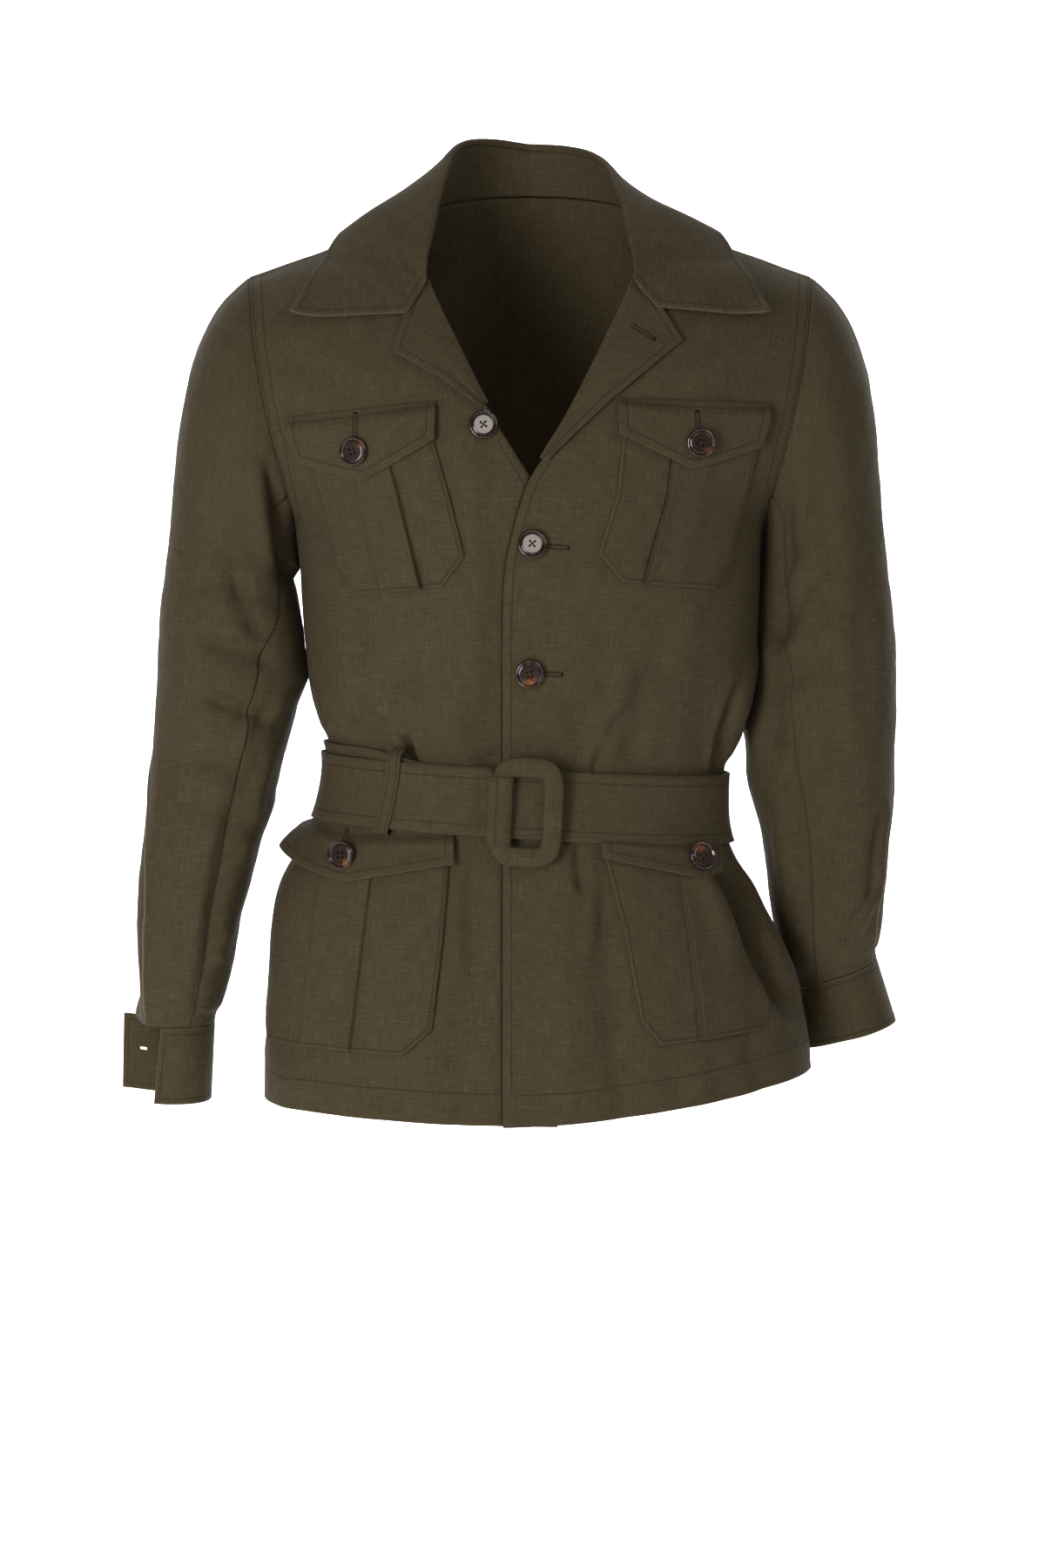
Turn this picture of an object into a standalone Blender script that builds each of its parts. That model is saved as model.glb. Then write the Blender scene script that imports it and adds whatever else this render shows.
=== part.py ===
# Belted linen safari jacket, in the hollow form it has when worn.
# Metres, +Z up, front towards -Y. Wearer's right is -X. Origin: mid shoulder line, at the neck.
from collections import namedtuple
from math import cos, exp, hypot, pi, radians, sin

import bmesh
import bpy
from mathutils import Matrix, Vector
from mathutils.bvhtree import BVHTree

# Driving sizes
WALL = 0.0016            # body and sleeve cloth
TRIM_WALL = 0.0014       # pockets, flaps, lapels
BELT_WALL = 0.0022
COLLAR_WALL = 0.0024
SEAM = 0.0004            # gap between two pieces sewn edge to edge
LAY = 0.0006             # gap between a piece and what it lies on
BELT_LAY = 0.0026        # the belt lies looser
OVERLAP_DROP = 0.0044    # right front below left front where they lap
LAP_EDGE, LAP_FADE = 0.045, 0.020      # how far from the middle the drop reaches
CHEST_ROUND = 2.3        # superellipse exponent of the body section
SLEEVE_ROUND = 0.88      # below 1 makes the sleeve section squarer

BELT_HALF = 0.0268
BELT_MID_Z = -0.4535
BELT_TILT = -0.059       # belt height changes with x
BELT_REACH, END_REACH = 0.07, 0.13     # belt bridges steps nearer than this, in radians
BUTTON_R = 0.0115
BUTTON_T = 0.0034
CUFF_WALL = 0.0020
CUFF_FLAP = 0.032        # free buttonhole end of the open cuff
CAP_SEAM = (0.0011, 0.0024)            # sleeve off the armhole, at the shoulder and the underarm
FOLD_FADE = 0.2          # folds die out this near a panel's edges

RIGHT, LEFT = -1, 1

# Sections down the front: inner edge (neck, roll line, front edge), outer edge (armhole, side seam).
FrontRow = namedtuple("FrontRow", "in_x in_y in_z out_right out_left out_y z_right z_left wrap bulge")
FRONT_ROWS = [FrontRow(*row) for row in (
    (0.080, 0.000, 0.003, 0.2200, 0.2200, 0.000, -0.0465, -0.0465, 0.0, 0.000),
    (0.0835, -0.030, -0.015, 0.2185, 0.2185, -0.030, -0.058, -0.058, 0.0, 0.002),
    (0.0830, -0.055, -0.032, 0.2160, 0.2160, -0.052, -0.080, -0.080, 0.0, 0.005),
    (0.0790, -0.072, -0.055, 0.2120, 0.2120, -0.064, -0.110, -0.110, 0.0, 0.008),
    (0.0580, -0.096, -0.100, 0.2045, 0.2045, -0.070, -0.150, -0.150, 0.05, 0.009),
    (0.0320, -0.114, -0.151, 0.1950, 0.1950, -0.064, -0.190, -0.190, 0.3, 0.006),
    (0.0120, -0.123, -0.184, 0.1870, 0.1870, -0.040, -0.222, -0.222, 0.65, 0.003),
    (-0.0030, -0.126, -0.210, 0.1830, 0.1830, 0.000, -0.245, -0.245, 1.0, 0.0),
    (-0.0150, -0.126, -0.252, 0.1810, 0.1810, 0.000, -0.266, -0.266, 1.0, 0.0),
    (-0.0200, -0.124, -0.285, 0.1795, 0.1800, 0.000, -0.295, -0.295, 1.0, 0.0),
    (-0.0210, -0.117, -0.335, 0.1767, 0.1784, 0.000, -0.335, -0.335, 1.0, 0.0),
    (-0.0210, -0.109, -0.380, 0.1705, 0.1735, 0.000, -0.380, -0.380, 1.0, 0.0),
    (-0.0210, -0.104, -0.417, 0.1565, 0.1560, 0.000, -0.415, -0.417, 1.0, 0.0),
    (-0.0210, -0.104, -0.450, 0.1575, 0.1520, 0.000, -0.446, -0.452, 1.0, 0.0),
    (-0.0210, -0.108, -0.485, 0.1685, 0.1550, 0.000, -0.480, -0.485, 1.0, 0.0),
    (-0.0210, -0.115, -0.522, 0.1935, 0.1710, 0.000, -0.520, -0.520, 1.0, 0.0),
    (-0.0210, -0.121, -0.562, 0.2010, 0.1915, 0.000, -0.558, -0.556, 1.0, 0.0),
    (-0.0210, -0.126, -0.610, 0.2035, 0.2100, 0.000, -0.605, -0.598, 1.0, 0.0),
    (-0.0210, -0.130, -0.657, 0.2095, 0.2200, 0.000, -0.655, -0.643, 1.0, 0.0),
    (-0.0210, -0.132, -0.700, 0.2105, 0.2220, 0.000, -0.692, -0.669, 1.0, 0.0),
)]
UNDERARM = 7             # row of the underarm point

# Sections down the back: centre back; its outer edges share the front's below the underarm.
BackRow = namedtuple("BackRow", "mid_y mid_z out_x out_y out_z wrap")
BACK_ROWS = [BackRow(*row) for row in (
    (0.070, 0.020, 0.2200, 0.000, -0.0465, 0.0),
    (0.086, -0.013, 0.2185, 0.030, -0.061, 0.0),
    (0.098, -0.055, 0.2130, 0.048, -0.085, 0.0),
    (0.106, -0.105, 0.2060, 0.058, -0.125, 0.05),
    (0.108, -0.155, 0.1990, 0.057, -0.165, 0.2),
    (0.106, -0.200, 0.1920, 0.046, -0.205, 0.5),
    (0.102, -0.232, 0.1860, 0.024, -0.232, 0.8),
    (0.099, -0.250, 0.1830, 0.000, -0.245, 1.0),
)]
BACK_DEPTH = (0.096, 0.092, 0.086, 0.079, 0.076, 0.077, 0.082, 0.092, 0.103, 0.113, 0.122, 0.127)
NECK_X, NECK_Z = 0.080, 0.003      # where the shoulder seam meets the neck
NECK_SHARE = NECK_X / 0.220

# Large soft folds, seen from the front (or back): a line in x and z, its half width and its height.
Fold = namedtuple("Fold", "x0 z0 x1 z1 half depth")
FRONT_FOLDS = [Fold(*row) for row in (
    (0.072, -0.345, 0.052, -0.420, 0.010, 0.0045),
    (0.160, -0.350, 0.150, -0.420, 0.012, 0.0040),
    (-0.090, -0.345, -0.115, -0.405, 0.012, -0.0040),
    (-0.140, -0.335, -0.150, -0.410, 0.014, 0.0040),
    (-0.040, -0.300, -0.060, -0.400, 0.018, 0.0030),
    (0.056, -0.500, 0.075, -0.690, 0.014, -0.0050),
    (0.150, -0.510, 0.185, -0.600, 0.016, -0.0070),
    (0.020, -0.520, 0.030, -0.690, 0.020, 0.0040),
    (-0.045, -0.505, -0.040, -0.690, 0.016, -0.0040),
    (-0.190, -0.540, -0.192, -0.690, 0.018, 0.0040),
)]
BACK_FOLDS = [Fold(*row) for row in (
    (-0.070, -0.330, -0.060, -0.420, 0.014, 0.0045),
    (0.065, -0.330, 0.055, -0.420, 0.014, 0.0045),
    (0.000, -0.345, 0.004, -0.420, 0.012, -0.0040),
    (-0.110, -0.500, -0.130, -0.690, 0.020, 0.0060),
    (0.100, -0.500, 0.125, -0.670, 0.020, 0.0060),
    (0.010, -0.500, 0.000, -0.690, 0.022, 0.0050),
    (-0.055, -0.510, -0.065, -0.690, 0.016, -0.0050),
    (0.055, -0.510, 0.062, -0.690, 0.016, -0.0050),
)]

# Rings down each sleeve; tilt lifts the outer side.
SleeveRow = namedtuple("SleeveRow", "z tilt mid_x mid_y half_x half_y")
SLEEVE_ROWS = {
    RIGHT: [SleeveRow(*row) for row in (
        (-0.272, 0.018, 0.2385, 0.004, 0.0460, 0.064),
        (-0.305, 0.010, 0.2385, 0.003, 0.0510, 0.066),
        (-0.335, 0.004, 0.2390, 0.002, 0.0535, 0.066),
        (-0.376, 0.000, 0.2395, 0.000, 0.0550, 0.064),
        (-0.417, 0.000, 0.2437, -0.002, 0.0534, 0.061),
        (-0.450, 0.000, 0.2510, -0.004, 0.0490, 0.058),
        (-0.483, 0.000, 0.2585, -0.006, 0.0460, 0.055),
        (-0.520, 0.000, 0.2648, -0.008, 0.0432, 0.052),
        (-0.556, 0.000, 0.2704, -0.009, 0.0397, 0.049),
        (-0.590, 0.000, 0.2728, -0.010, 0.0362, 0.046),
        (-0.616, 0.000, 0.2758, -0.010, 0.0315, 0.043),
        (-0.633, 0.000, 0.2788, -0.008, 0.0278, 0.040),
        (-0.693, 0.000, 0.2805, -0.008, 0.0265, 0.039),
    )],
    LEFT: [SleeveRow(*row) for row in (
        (-0.272, 0.018, 0.2320, 0.004, 0.0470, 0.064),
        (-0.305, 0.010, 0.2340, 0.004, 0.0500, 0.066),
        (-0.335, 0.004, 0.2352, 0.005, 0.0522, 0.066),
        (-0.376, 0.000, 0.2340, 0.008, 0.0550, 0.064),
        (-0.417, 0.000, 0.2325, 0.012, 0.0565, 0.061),
        (-0.450, 0.000, 0.2335, 0.017, 0.0542, 0.058),
        (-0.483, 0.000, 0.2352, 0.023, 0.0508, 0.055),
        (-0.520, 0.000, 0.2370, 0.030, 0.0470, 0.052),
        (-0.556, 0.002, 0.2390, 0.038, 0.0432, 0.050),
        (-0.582, 0.008, 0.2425, 0.048, 0.0370, 0.048),
        (-0.600, 0.012, 0.2462, 0.056, 0.0323, 0.0455),
        (-0.650, 0.011, 0.2560, 0.064, 0.0390, 0.047),
    )],
}
SLEEVE_FOLDS = [Fold(*row) for row in (
    (-0.205, -0.345, -0.250, -0.330, 0.010, -0.0045),
    (-0.200, -0.390, -0.245, -0.372, 0.010, -0.0050),
    (-0.205, -0.425, -0.255, -0.415, 0.010, -0.0045),
    (-0.225, -0.470, -0.268, -0.452, 0.011, -0.0035),
    (0.195, -0.320, 0.240, -0.300, 0.010, -0.0045),
    (0.192, -0.360, 0.235, -0.345, 0.010, -0.0045),
    (0.190, -0.405, 0.240, -0.398, 0.011, -0.0045),
    (0.200, -0.455, 0.245, -0.440, 0.011, -0.0035),
)]
FRONT_SEAM = radians(48)     # sleeve seams, as angles from the inner side towards the front
BACK_SEAM = radians(-62)

# Collar, from the gorge (front) to the centre back: fold line and outer edge.
CollarStation = namedtuple("CollarStation", "fold_x fold_y fold_z edge_x edge_y edge_z")
COLLAR = [CollarStation(*row) for row in (
    (0.0800, -0.080, -0.051, 0.1850, -0.080, -0.0745),
    (0.0810, -0.064, -0.026, 0.1660, -0.045, -0.0440),
    (0.0780, -0.040, 0.003, 0.1470, -0.005, -0.0110),
    (0.0710, -0.012, 0.026, 0.1280, 0.040, -0.0130),
    (0.0640, 0.018, 0.041, 0.0960, 0.082, -0.0180),
    (0.0510, 0.045, 0.052, 0.0560, 0.106, -0.0170),
    (0.0290, 0.064, 0.058, 0.0270, 0.114, -0.0150),
    (0.0000, 0.071, 0.060, 0.0000, 0.116, -0.0140),
)]
COLLAR_RISE = {RIGHT: 0.19, LEFT: 0.0}       # collar stands higher on the wearer's right
COLLAR_ARCH = {RIGHT: 0.0117, LEFT: 0.006}   # rounding of the fall between fold and edge
GORGE_AT, GORGE_DROP = 0.2, Vector((-0.010, -0.004, -0.0165))
STAND_FROM = 0.22        # the stand starts behind the gorge
STAND_IN, STAND_UNDER = 0.0030, 0.0034       # below the fold: inside the fall, and down from it
STAND_EDGE, STAND_SEAM = 0.5, 0.0016   # at the neck: share of the way in, and height above the edge

# Lapels: outer edge from the notch round the tip to the roll line, in x and z.
LapelEdge = namedtuple("LapelEdge", "along x z")
LAPELS = {
    RIGHT: (4.90, [LapelEdge(*row) for row in (
        (0.0, 0.0960, -0.0790), (0.36, 0.1040, -0.1090), (0.70, 0.0680, -0.1290), (1.0, 0.0430, -0.1500))]),
    LEFT: (6.15, [LapelEdge(*row) for row in (
        (0.0, 0.1000, -0.0740), (0.24, 0.1160, -0.0995), (0.62, 0.0600, -0.1460), (1.0, 0.0190, -0.1900))]),
}

# Patch pockets: rows from the top edge down; width runs along the cloth.
PocketRow = namedtuple("PocketRow", "in_x in_z out_z width")
POCKETS = {
    ("chest", RIGHT): [PocketRow(*row) for row in (
        (0.078, -0.160, -0.172, 0.106), (0.062, -0.215, -0.222, 0.110),
        (0.050, -0.263, -0.273, 0.110), (0.067, -0.286, -0.293, 0.075))],
    ("chest", LEFT): [PocketRow(*row) for row in (
        (0.072, -0.157, -0.160, 0.110), (0.066, -0.215, -0.218, 0.112),
        (0.052, -0.260, -0.266, 0.114), (0.070, -0.282, -0.288, 0.078))],
    ("hip", RIGHT): [PocketRow(*row) for row in (
        (0.062, -0.492, -0.488, 0.166), (0.067, -0.556, -0.552, 0.174),
        (0.075, -0.626, -0.622, 0.176), (0.097, -0.646, -0.642, 0.132))],
    ("hip", LEFT): [PocketRow(*row) for row in (
        (0.058, -0.497, -0.494, 0.152), (0.072, -0.550, -0.545, 0.166),
        (0.085, -0.619, -0.610, 0.170), (0.100, -0.638, -0.629, 0.130))],
}
POCKET_STEPS = (0.0, 0.12, 0.24, 0.34, 0.37, 0.5, 0.63, 0.66, 0.75, 0.84, 0.92, 1.0)   # columns
PLEAT = (0.355, 0.645)
PLEAT_RISE = 0.0016
LAY_REACH = 0.011        # a laid piece bridges hollows narrower than this
POCKET_LIFT = {"chest": WALL / 2 + LAY * 1.5 + TRIM_WALL / 2, "hip": WALL / 2 + LAY * 3 + TRIM_WALL / 2}

# Flaps: the top edge's ends, and the drop at the inner corner, the point and the outer corner.
Flap = namedtuple("Flap", "in_x in_z out_z width drop_in drop_point drop_out")
FLAPS = {
    ("chest", RIGHT): Flap(0.072, -0.145, -0.157, 0.121, 0.030, 0.053, 0.032),
    ("chest", LEFT): Flap(0.067, -0.143, -0.146, 0.121, 0.028, 0.051, 0.032),
    ("hip", RIGHT): Flap(0.058, -0.4835, -0.4785, 0.172, 0.0175, 0.036, 0.018),
    ("hip", LEFT): Flap(0.054, -0.4860, -0.4925, 0.156, 0.010, 0.026, 0.013),
}

BUTTON_DOWN = {"chest": 0.62, "hip": 0.5}        # share of the flap above its button
FRONT_BUTTONS = ((RIGHT, -0.036, -0.163), (LEFT, 0.001, -0.254), (LEFT, -0.001, -0.352))
BUTTON_PROFILE = ((0.0, 0.72), (0.70, 0.74), (0.82, 1.0), (0.96, 0.90), (1.0, 0.55), (0.72, 0.0),
                  (0.0, 0.0))     # radius and height, as shares
BUCKLE_MID = (-0.003, -0.4585)
BUCKLE_HALF = (0.0205, 0.0345)     # to the middle of its bars
BUCKLE_BAR = (0.0075, 0.0027)      # half width and half thickness of a bar
BUCKLE_LEAN = radians(-2.5)
BUCKLE_GAP = 0.0036      # clear of the belt end below it
BUCKLE_SQUARE = 0.42     # smaller makes its corners tighter

LINEN = (0.065, 0.051, 0.030, 1.0)
HORN = (0.045, 0.022, 0.012, 1.0)


def mix(a, b, t):
    return a + (b - a) * t


def ease(t):
    t = min(1.0, max(0.0, t))
    return t * t * (3 - 2 * t)


def spline(points, t):
    # smooth curve through the points; t counts them
    last = len(points) - 1
    i = min(int(t), last - 1) if t > 0 else 0
    k = t - i
    p1, p2 = points[i], points[i + 1]
    p0 = points[i - 1] if i > 0 else p1 * 2 - p2
    p3 = points[i + 2] if i + 2 <= last else p2 * 2 - p1
    return (p1 * 2 + (p2 - p0) * k + (p0 * 2 - p1 * 5 + p2 * 4 - p3) * k * k
            + (p1 * 3 - p0 - p2 * 3 + p3) * k ** 3) * 0.5


def piecewise(stops, t):
    # straight lines through (t, value) stops
    for (t0, a), (t1, b) in zip(stops, stops[1:]):
        if t <= t1:
            return mix(a, b, (t - t0) / (t1 - t0))
    return stops[-1][1]


def fold_height(folds, x, z, side=None):
    total = 0.0
    for fold in folds:
        if side and fold.x0 * side < 0:
            continue
        run_x, run_z = fold.x1 - fold.x0, fold.z1 - fold.z0
        length = hypot(run_x, run_z)
        along = ((x - fold.x0) * run_x + (z - fold.z0) * run_z) / length ** 2
        across = abs((x - fold.x0) * run_z - (z - fold.z0) * run_x) / length
        if across < 3 * fold.half:
            fade = ease((along + 0.25) / 0.4) * ease((1.25 - along) / 0.4)
            total += fold.depth * fade * exp(-(across / fold.half) ** 2)
    return total


def section(u, wrap):
    # share of the way across and of the way back, for a body section
    wide = sin(u * pi / 2) ** (2 / CHEST_ROUND)
    deep = 1 - max(0.0, cos(u * pi / 2)) ** (2 / CHEST_ROUND)
    across = mix(u, wide, wrap)
    return across, mix(across ** 2, deep, wrap)


def front_form(side, u, v):
    points = []
    for row in FRONT_ROWS:
        across, back = section(u, row.wrap)
        out_x, out_z = (row.out_right, row.z_right) if side == RIGHT else (row.out_left, row.z_left)
        x = mix(row.in_x, out_x, across)
        y = mix(row.in_y, row.out_y, back) - row.bulge * sin(pi * u)
        if side == RIGHT and row.in_x < LAP_FADE:
            y += OVERLAP_DROP * ease((LAP_EDGE - x) / LAP_FADE)
        points.append(Vector((side * x, y, mix(row.in_z, out_z, across ** (1 + 0.6 * row.wrap)))))
    return spline(points, v)


def back_form(u, v):
    side, u = (LEFT, u) if u >= 0 else (RIGHT, -u)
    points = []
    top = BACK_ROWS[0]
    x = top.out_x * u
    round_neck = max(0.0, 1 - (x / NECK_X) ** 2) ** 0.5
    slope = max(0.0, (x - NECK_X) / (top.out_x - NECK_X))
    z = mix(mix(NECK_Z, top.mid_z, round_neck), top.out_z, slope)
    points.append(Vector((x, top.mid_y * round_neck, z)))
    for row in BACK_ROWS[1:]:
        across, near = section(u, row.wrap)
        y, z = mix(row.mid_y, row.out_y, near), mix(row.mid_z, row.out_z, across)
        points.append(Vector((row.out_x * across, y, z)))
    for row, depth in zip(FRONT_ROWS[UNDERARM + 1:], BACK_DEPTH):
        across, near = section(u, 1.0)
        out_x, out_z = (row.out_right, row.z_right) if side == RIGHT else (row.out_left, row.z_left)
        mid_z = (row.z_right + row.z_left) / 2
        points.append(Vector((out_x * across, mix(depth, 0.0, near), mix(mid_z, out_z, across ** 2))))
    point = spline(points, v)
    point.x *= side
    return point


def normal_of(form, u, v):
    du = form(u + 0.004, v) - form(u - 0.004, v)
    dv = form(u, v + 0.03) - form(u, v - 0.03)
    return du.cross(dv).normalized()


def front_point(side, u, v):
    point = front_form(side, u, v)
    if 0.02 < u < 0.98:
        out = normal_of(lambda a, b: front_form(side, a, b), u, v)
        out *= -1 if out.y > 0 else 1
        fade = ease(u / FOLD_FADE) * ease((1 - u) / FOLD_FADE)
        point += out * fold_height(FRONT_FOLDS, point.x, point.z, side) * fade
    point.y = min(point.y, -SEAM / 2)
    if v < 0.01:
        point.y = -WALL * 0.5
    return point


def back_point(u, v):
    point = back_form(u, v)
    if abs(u) < 0.98 and v > UNDERARM:
        out = Vector((point.x * 0.4, 1.0 * abs(point.y) + 0.001, 0)).normalized()
        point += out * fold_height(BACK_FOLDS, point.x, point.z) * ease((1 - abs(u)) / FOLD_FADE)
    point.y = max(point.y, SEAM / 2)
    if v < 0.01 and abs(u) > NECK_SHARE:
        point.y = WALL * 0.5
    return point


def armhole(side, angle):
    # round the armhole: 0 underarm, pi/2 front, pi shoulder, 3pi/2 back
    if angle <= pi:
        return front_form(side, 1.0, UNDERARM * (1 - angle / pi))
    return back_form(side * 1.0, UNDERARM * (angle - pi) / pi)


def ring_point(side, row, angle):
    across, deep = (abs(k) ** SLEEVE_ROUND * (1 if k > 0 else -1) for k in (cos(angle), sin(angle)))
    x = row.mid_x - row.half_x * across
    y = row.mid_y - row.half_y * deep
    return Vector((side * x, y, row.z - row.tilt * cos(angle)))


def sleeve_point(side, angle, v):
    # v 0 to 1 is the cap, then one step for each ring
    angle %= 2 * pi
    rows = SLEEVE_ROWS[side]
    rings = [ring_point(side, row, angle) for row in rows]
    if v < 1:
        start = armhole(side, angle)
        low = max(0.0, cos(angle))
        start.x += side * mix(*CAP_SEAM, low)
        outward = Vector((side * (0.70 - 0.15 * cos(angle)), -0.25 * sin(angle), -0.68 - 0.08 * cos(angle)))
        outward.normalize()
        reach = (rings[0] - start).length
        down = (rings[1] - rings[0]).normalized()
        k = v
        point = (start * (2 * k ** 3 - 3 * k ** 2 + 1) + outward * reach * (k ** 3 - 2 * k ** 2 + k)
                 + rings[0] * (3 * k ** 2 - 2 * k ** 3) + down * reach * (k ** 3 - k ** 2))
    else:
        point = spline(rings, v - 1)
        if point.y < rows[0].mid_y + 0.03:
            out = Vector((-side * cos(angle), -sin(angle), 0)).normalized()
            point += out * fold_height(SLEEVE_FOLDS, point.x, point.z)
    return point


def cloth(name, columns, rows, surface, wall, material):
    # an open sheet laid out on a grid, shaped by surface(u, v), with a wall of cloth
    bm = bmesh.new()
    bmesh.ops.create_grid(bm, x_segments=columns, y_segments=rows, size=0.5)
    for vert in bm.verts:
        vert.co = surface(vert.co.x + 0.5, 0.5 - vert.co.y)
    return finish(name, bm, material, wall)


def finish(name, bm, material, wall=None):
    mesh = bpy.data.meshes.new(name)
    bm.to_mesh(mesh)
    bm.free()
    mesh.shade_smooth()
    part = bpy.data.objects.new(name, mesh)
    mesh.materials.append(material)
    jacket.objects.link(part)
    if wall:
        solid = part.modifiers.new("wall", "SOLIDIFY")
        solid.thickness = wall
        solid.offset = 0.0
    return part


def make_material(name, colour, roughness):
    material = bpy.data.materials.new(name)
    material.use_nodes = True
    shader = material.node_tree.nodes["Principled BSDF"]
    shader.inputs["Base Color"].default_value = colour
    shader.inputs["Roughness"].default_value = roughness
    shader.inputs["Metallic"].default_value = 0.0
    return material


def side_name(side):
    return "right" if side == RIGHT else "left"


def surface_tree(surfaces, columns=48, rows=140):
    # one tree of the surfaces, read off a fine grid
    points, quads = [], []
    for surface in surfaces:
        base = len(points)
        for j in range(rows + 1):
            points += [surface(i / columns, j / rows) for i in range(columns + 1)]
        for j in range(rows):
            for i in range(columns):
                a = base + j * (columns + 1) + i
                quads.append((a, a + 1, a + columns + 2, a + columns + 1))
    return BVHTree.FromPolygons(points, quads)


def body_hit(angle, z):
    # outermost body point at this bearing (0 is front, positive to +X)
    out = Vector((sin(angle), -cos(angle), 0))
    place, normal, _, _ = body_tree.ray_cast(out * 0.6 + Vector((0, 0, z)), -out)
    if place is None:
        return None
    return place, normal if normal.dot(out) > 0 else -normal


def along_body(side, start_x, distance, z):
    # from x = start_x, go this far round the body at height z
    last, walked, beyond = None, 0.0, False
    for step in range(-10, 118):
        hit = body_hit(side * radians(step), z)
        if hit is None:
            continue
        place, normal = hit
        if last is not None:
            before, after = last[0].x * side, place.x * side
            stretch = (place - last[0]).length
            if beyond:
                walked += stretch
            elif before <= start_x < after:
                beyond = True
                walked = stretch * (after - start_x) / (after - before)
            if beyond and walked >= distance:
                back = (walked - distance) / stretch
                return mix(place, last[0], back), mix(normal, last[1], back).normalized()
        last = (place, normal)
    return last


def lay_on(side, start_x, distance, z, reach):
    # a body point, raised where the cloth round it stands higher
    place, out = along_body(side, start_x, distance, z)
    rise = 0.0
    for step, drop in ((reach, 0), (-reach, 0), (0, reach), (0, -reach)):
        near, _ = along_body(side, start_x, max(0.001, distance + step), z + drop)
        rise = max(rise, (near - place).dot(out))
    return place + out * rise, out


def front_hit(side, x, z):
    place, normal, _, _ = front_trees[side].ray_cast(Vector((x, -0.6, z)), Vector((0, 1, 0)))
    return place, normal if normal.y < 0 else -normal


def make_panels():
    last = len(FRONT_ROWS) - 1
    for side in (RIGHT, LEFT):
        cloth("front_" + side_name(side), 12, 27,
              lambda u, v: front_point(side, u, v * last), WALL, linen)
    half = [NECK_SHARE * i / 4 for i in range(4)] + [mix(NECK_SHARE, 1, i / 7) for i in range(8)]
    stations = [-u for u in reversed(half[1:])] + half
    cloth("back", len(stations) - 1, 23,
          lambda u, v: back_point(stations[round(u * (len(stations) - 1))], v * last), WALL, linen)


def make_sleeves():
    for side in (RIGHT, LEFT):
        rings = len(SLEEVE_ROWS[side]) - 2       # the last ring is the cuff's lower edge
        gap = SEAM / 0.02
        spans = {"upper": (FRONT_SEAM + gap / 2, 2 * pi + BACK_SEAM - gap / 2, 11),
                 "under": (BACK_SEAM + gap / 2, FRONT_SEAM - gap / 2, 6)}
        for piece, (start, end, columns) in spans.items():
            cloth("sleeve_%s_%s" % (piece, side_name(side)), columns, 21,
                  lambda u, v: sleeve_point(side, mix(start, end, u), sleeve_station(v, rings)), WALL, linen)


def sleeve_station(v, rings):
    # the first third of the rows shape the cap
    return v * 3 if v < 1 / 3 else 1 + (v - 1 / 3) * 1.5 * rings


def cuff_band(side, angle, down, lift):
    rows = SLEEVE_ROWS[side]
    top, bottom = rows[-2], rows[-1]
    drop = Vector((0, 0, -SEAM - WALL * 0.4))
    point = mix(ring_point(side, top, angle), ring_point(side, bottom, angle), down) + drop
    out = Vector((-side * cos(angle), -sin(angle), 0)).normalized()
    return point + out * lift


def open_cuff(u, v):
    # from the free front edge round the inside to the back, then on as a free end
    start, end, turn = radians(128), radians(-146), 0.78
    angle = mix(start, end, min(1.0, u / turn))
    point = cuff_band(RIGHT, angle, v, 0.0)
    if u > turn:
        before = cuff_band(RIGHT, end + 0.05, v, 0.0)
        point += (point - before).normalized() * CUFF_FLAP * (u - turn) / (1 - turn)
    return point


def closed_cuff(u, v):
    # laps over its own start at the back
    start, end = radians(-100), radians(288)
    lift = (BELT_WALL + LAY) * ease((u - 0.80) / 0.12)
    return cuff_band(LEFT, mix(start, end, u), v, lift)


def make_cuffs():
    cloth("cuff_right", 22, 3, open_cuff, CUFF_WALL, linen)
    cloth("cuff_left", 26, 3, closed_cuff, CUFF_WALL, linen)
    for side, share, surface in ((RIGHT, 0.62, open_cuff), (LEFT, 0.935, closed_cuff)):
        out = normal_of(surface, share, 0.5)
        out *= -1 if out.y < 0 else 1
        make_button("button_cuff_" + side_name(side), surface(share, 0.5), out, CUFF_WALL / 2 + LAY)


def collar_line(share, first, rise):
    # fold line (first 0) or outer edge (first 3), share 0 at the gorge to 1 at centre back
    points = [Vector(row[first:first + 3]) for row in COLLAR]
    point = spline(points, share * (len(points) - 1))
    point.z += rise * point.x * ease(point.z / 0.05)
    return point


def collar_point(u, v):
    side, share = (RIGHT, u * 2) if u < 0.5 else (LEFT, 2 - u * 2)
    fold = collar_line(share, 0, COLLAR_RISE[side])
    edge = collar_line(share, 3, 0.0)
    point = mix(fold, edge, v)
    bend = v / GORGE_AT if v < GORGE_AT else (1 - v) / (1 - GORGE_AT)
    point += GORGE_DROP * bend * max(0.0, 1 - share / 0.16)
    point.z += COLLAR_ARCH[side] * sin(pi * v) * ease(share / 0.3)
    point.x *= side
    lay = WALL / 2 + LAY + COLLAR_WALL / 2
    over_lapel = (TRIM_WALL + LAY * 2) * ease(v / 0.12) * (1 - ease((share - 0.1) / 0.12))
    return clear_of_body(point, lay + over_lapel)


def clear_of_body(point, distance):
    place, normal, _, _ = body_tree.find_nearest(point)
    out = place - Vector((0, 0.01, place.z - 0.12))
    if normal.dot(out) < 0:
        normal = -normal
    depth = (point - place).dot(normal)
    aside = (point - place - normal * depth).length
    if depth < distance and aside < 0.004:
        point = point + normal * (distance - depth)
    return point


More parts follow.
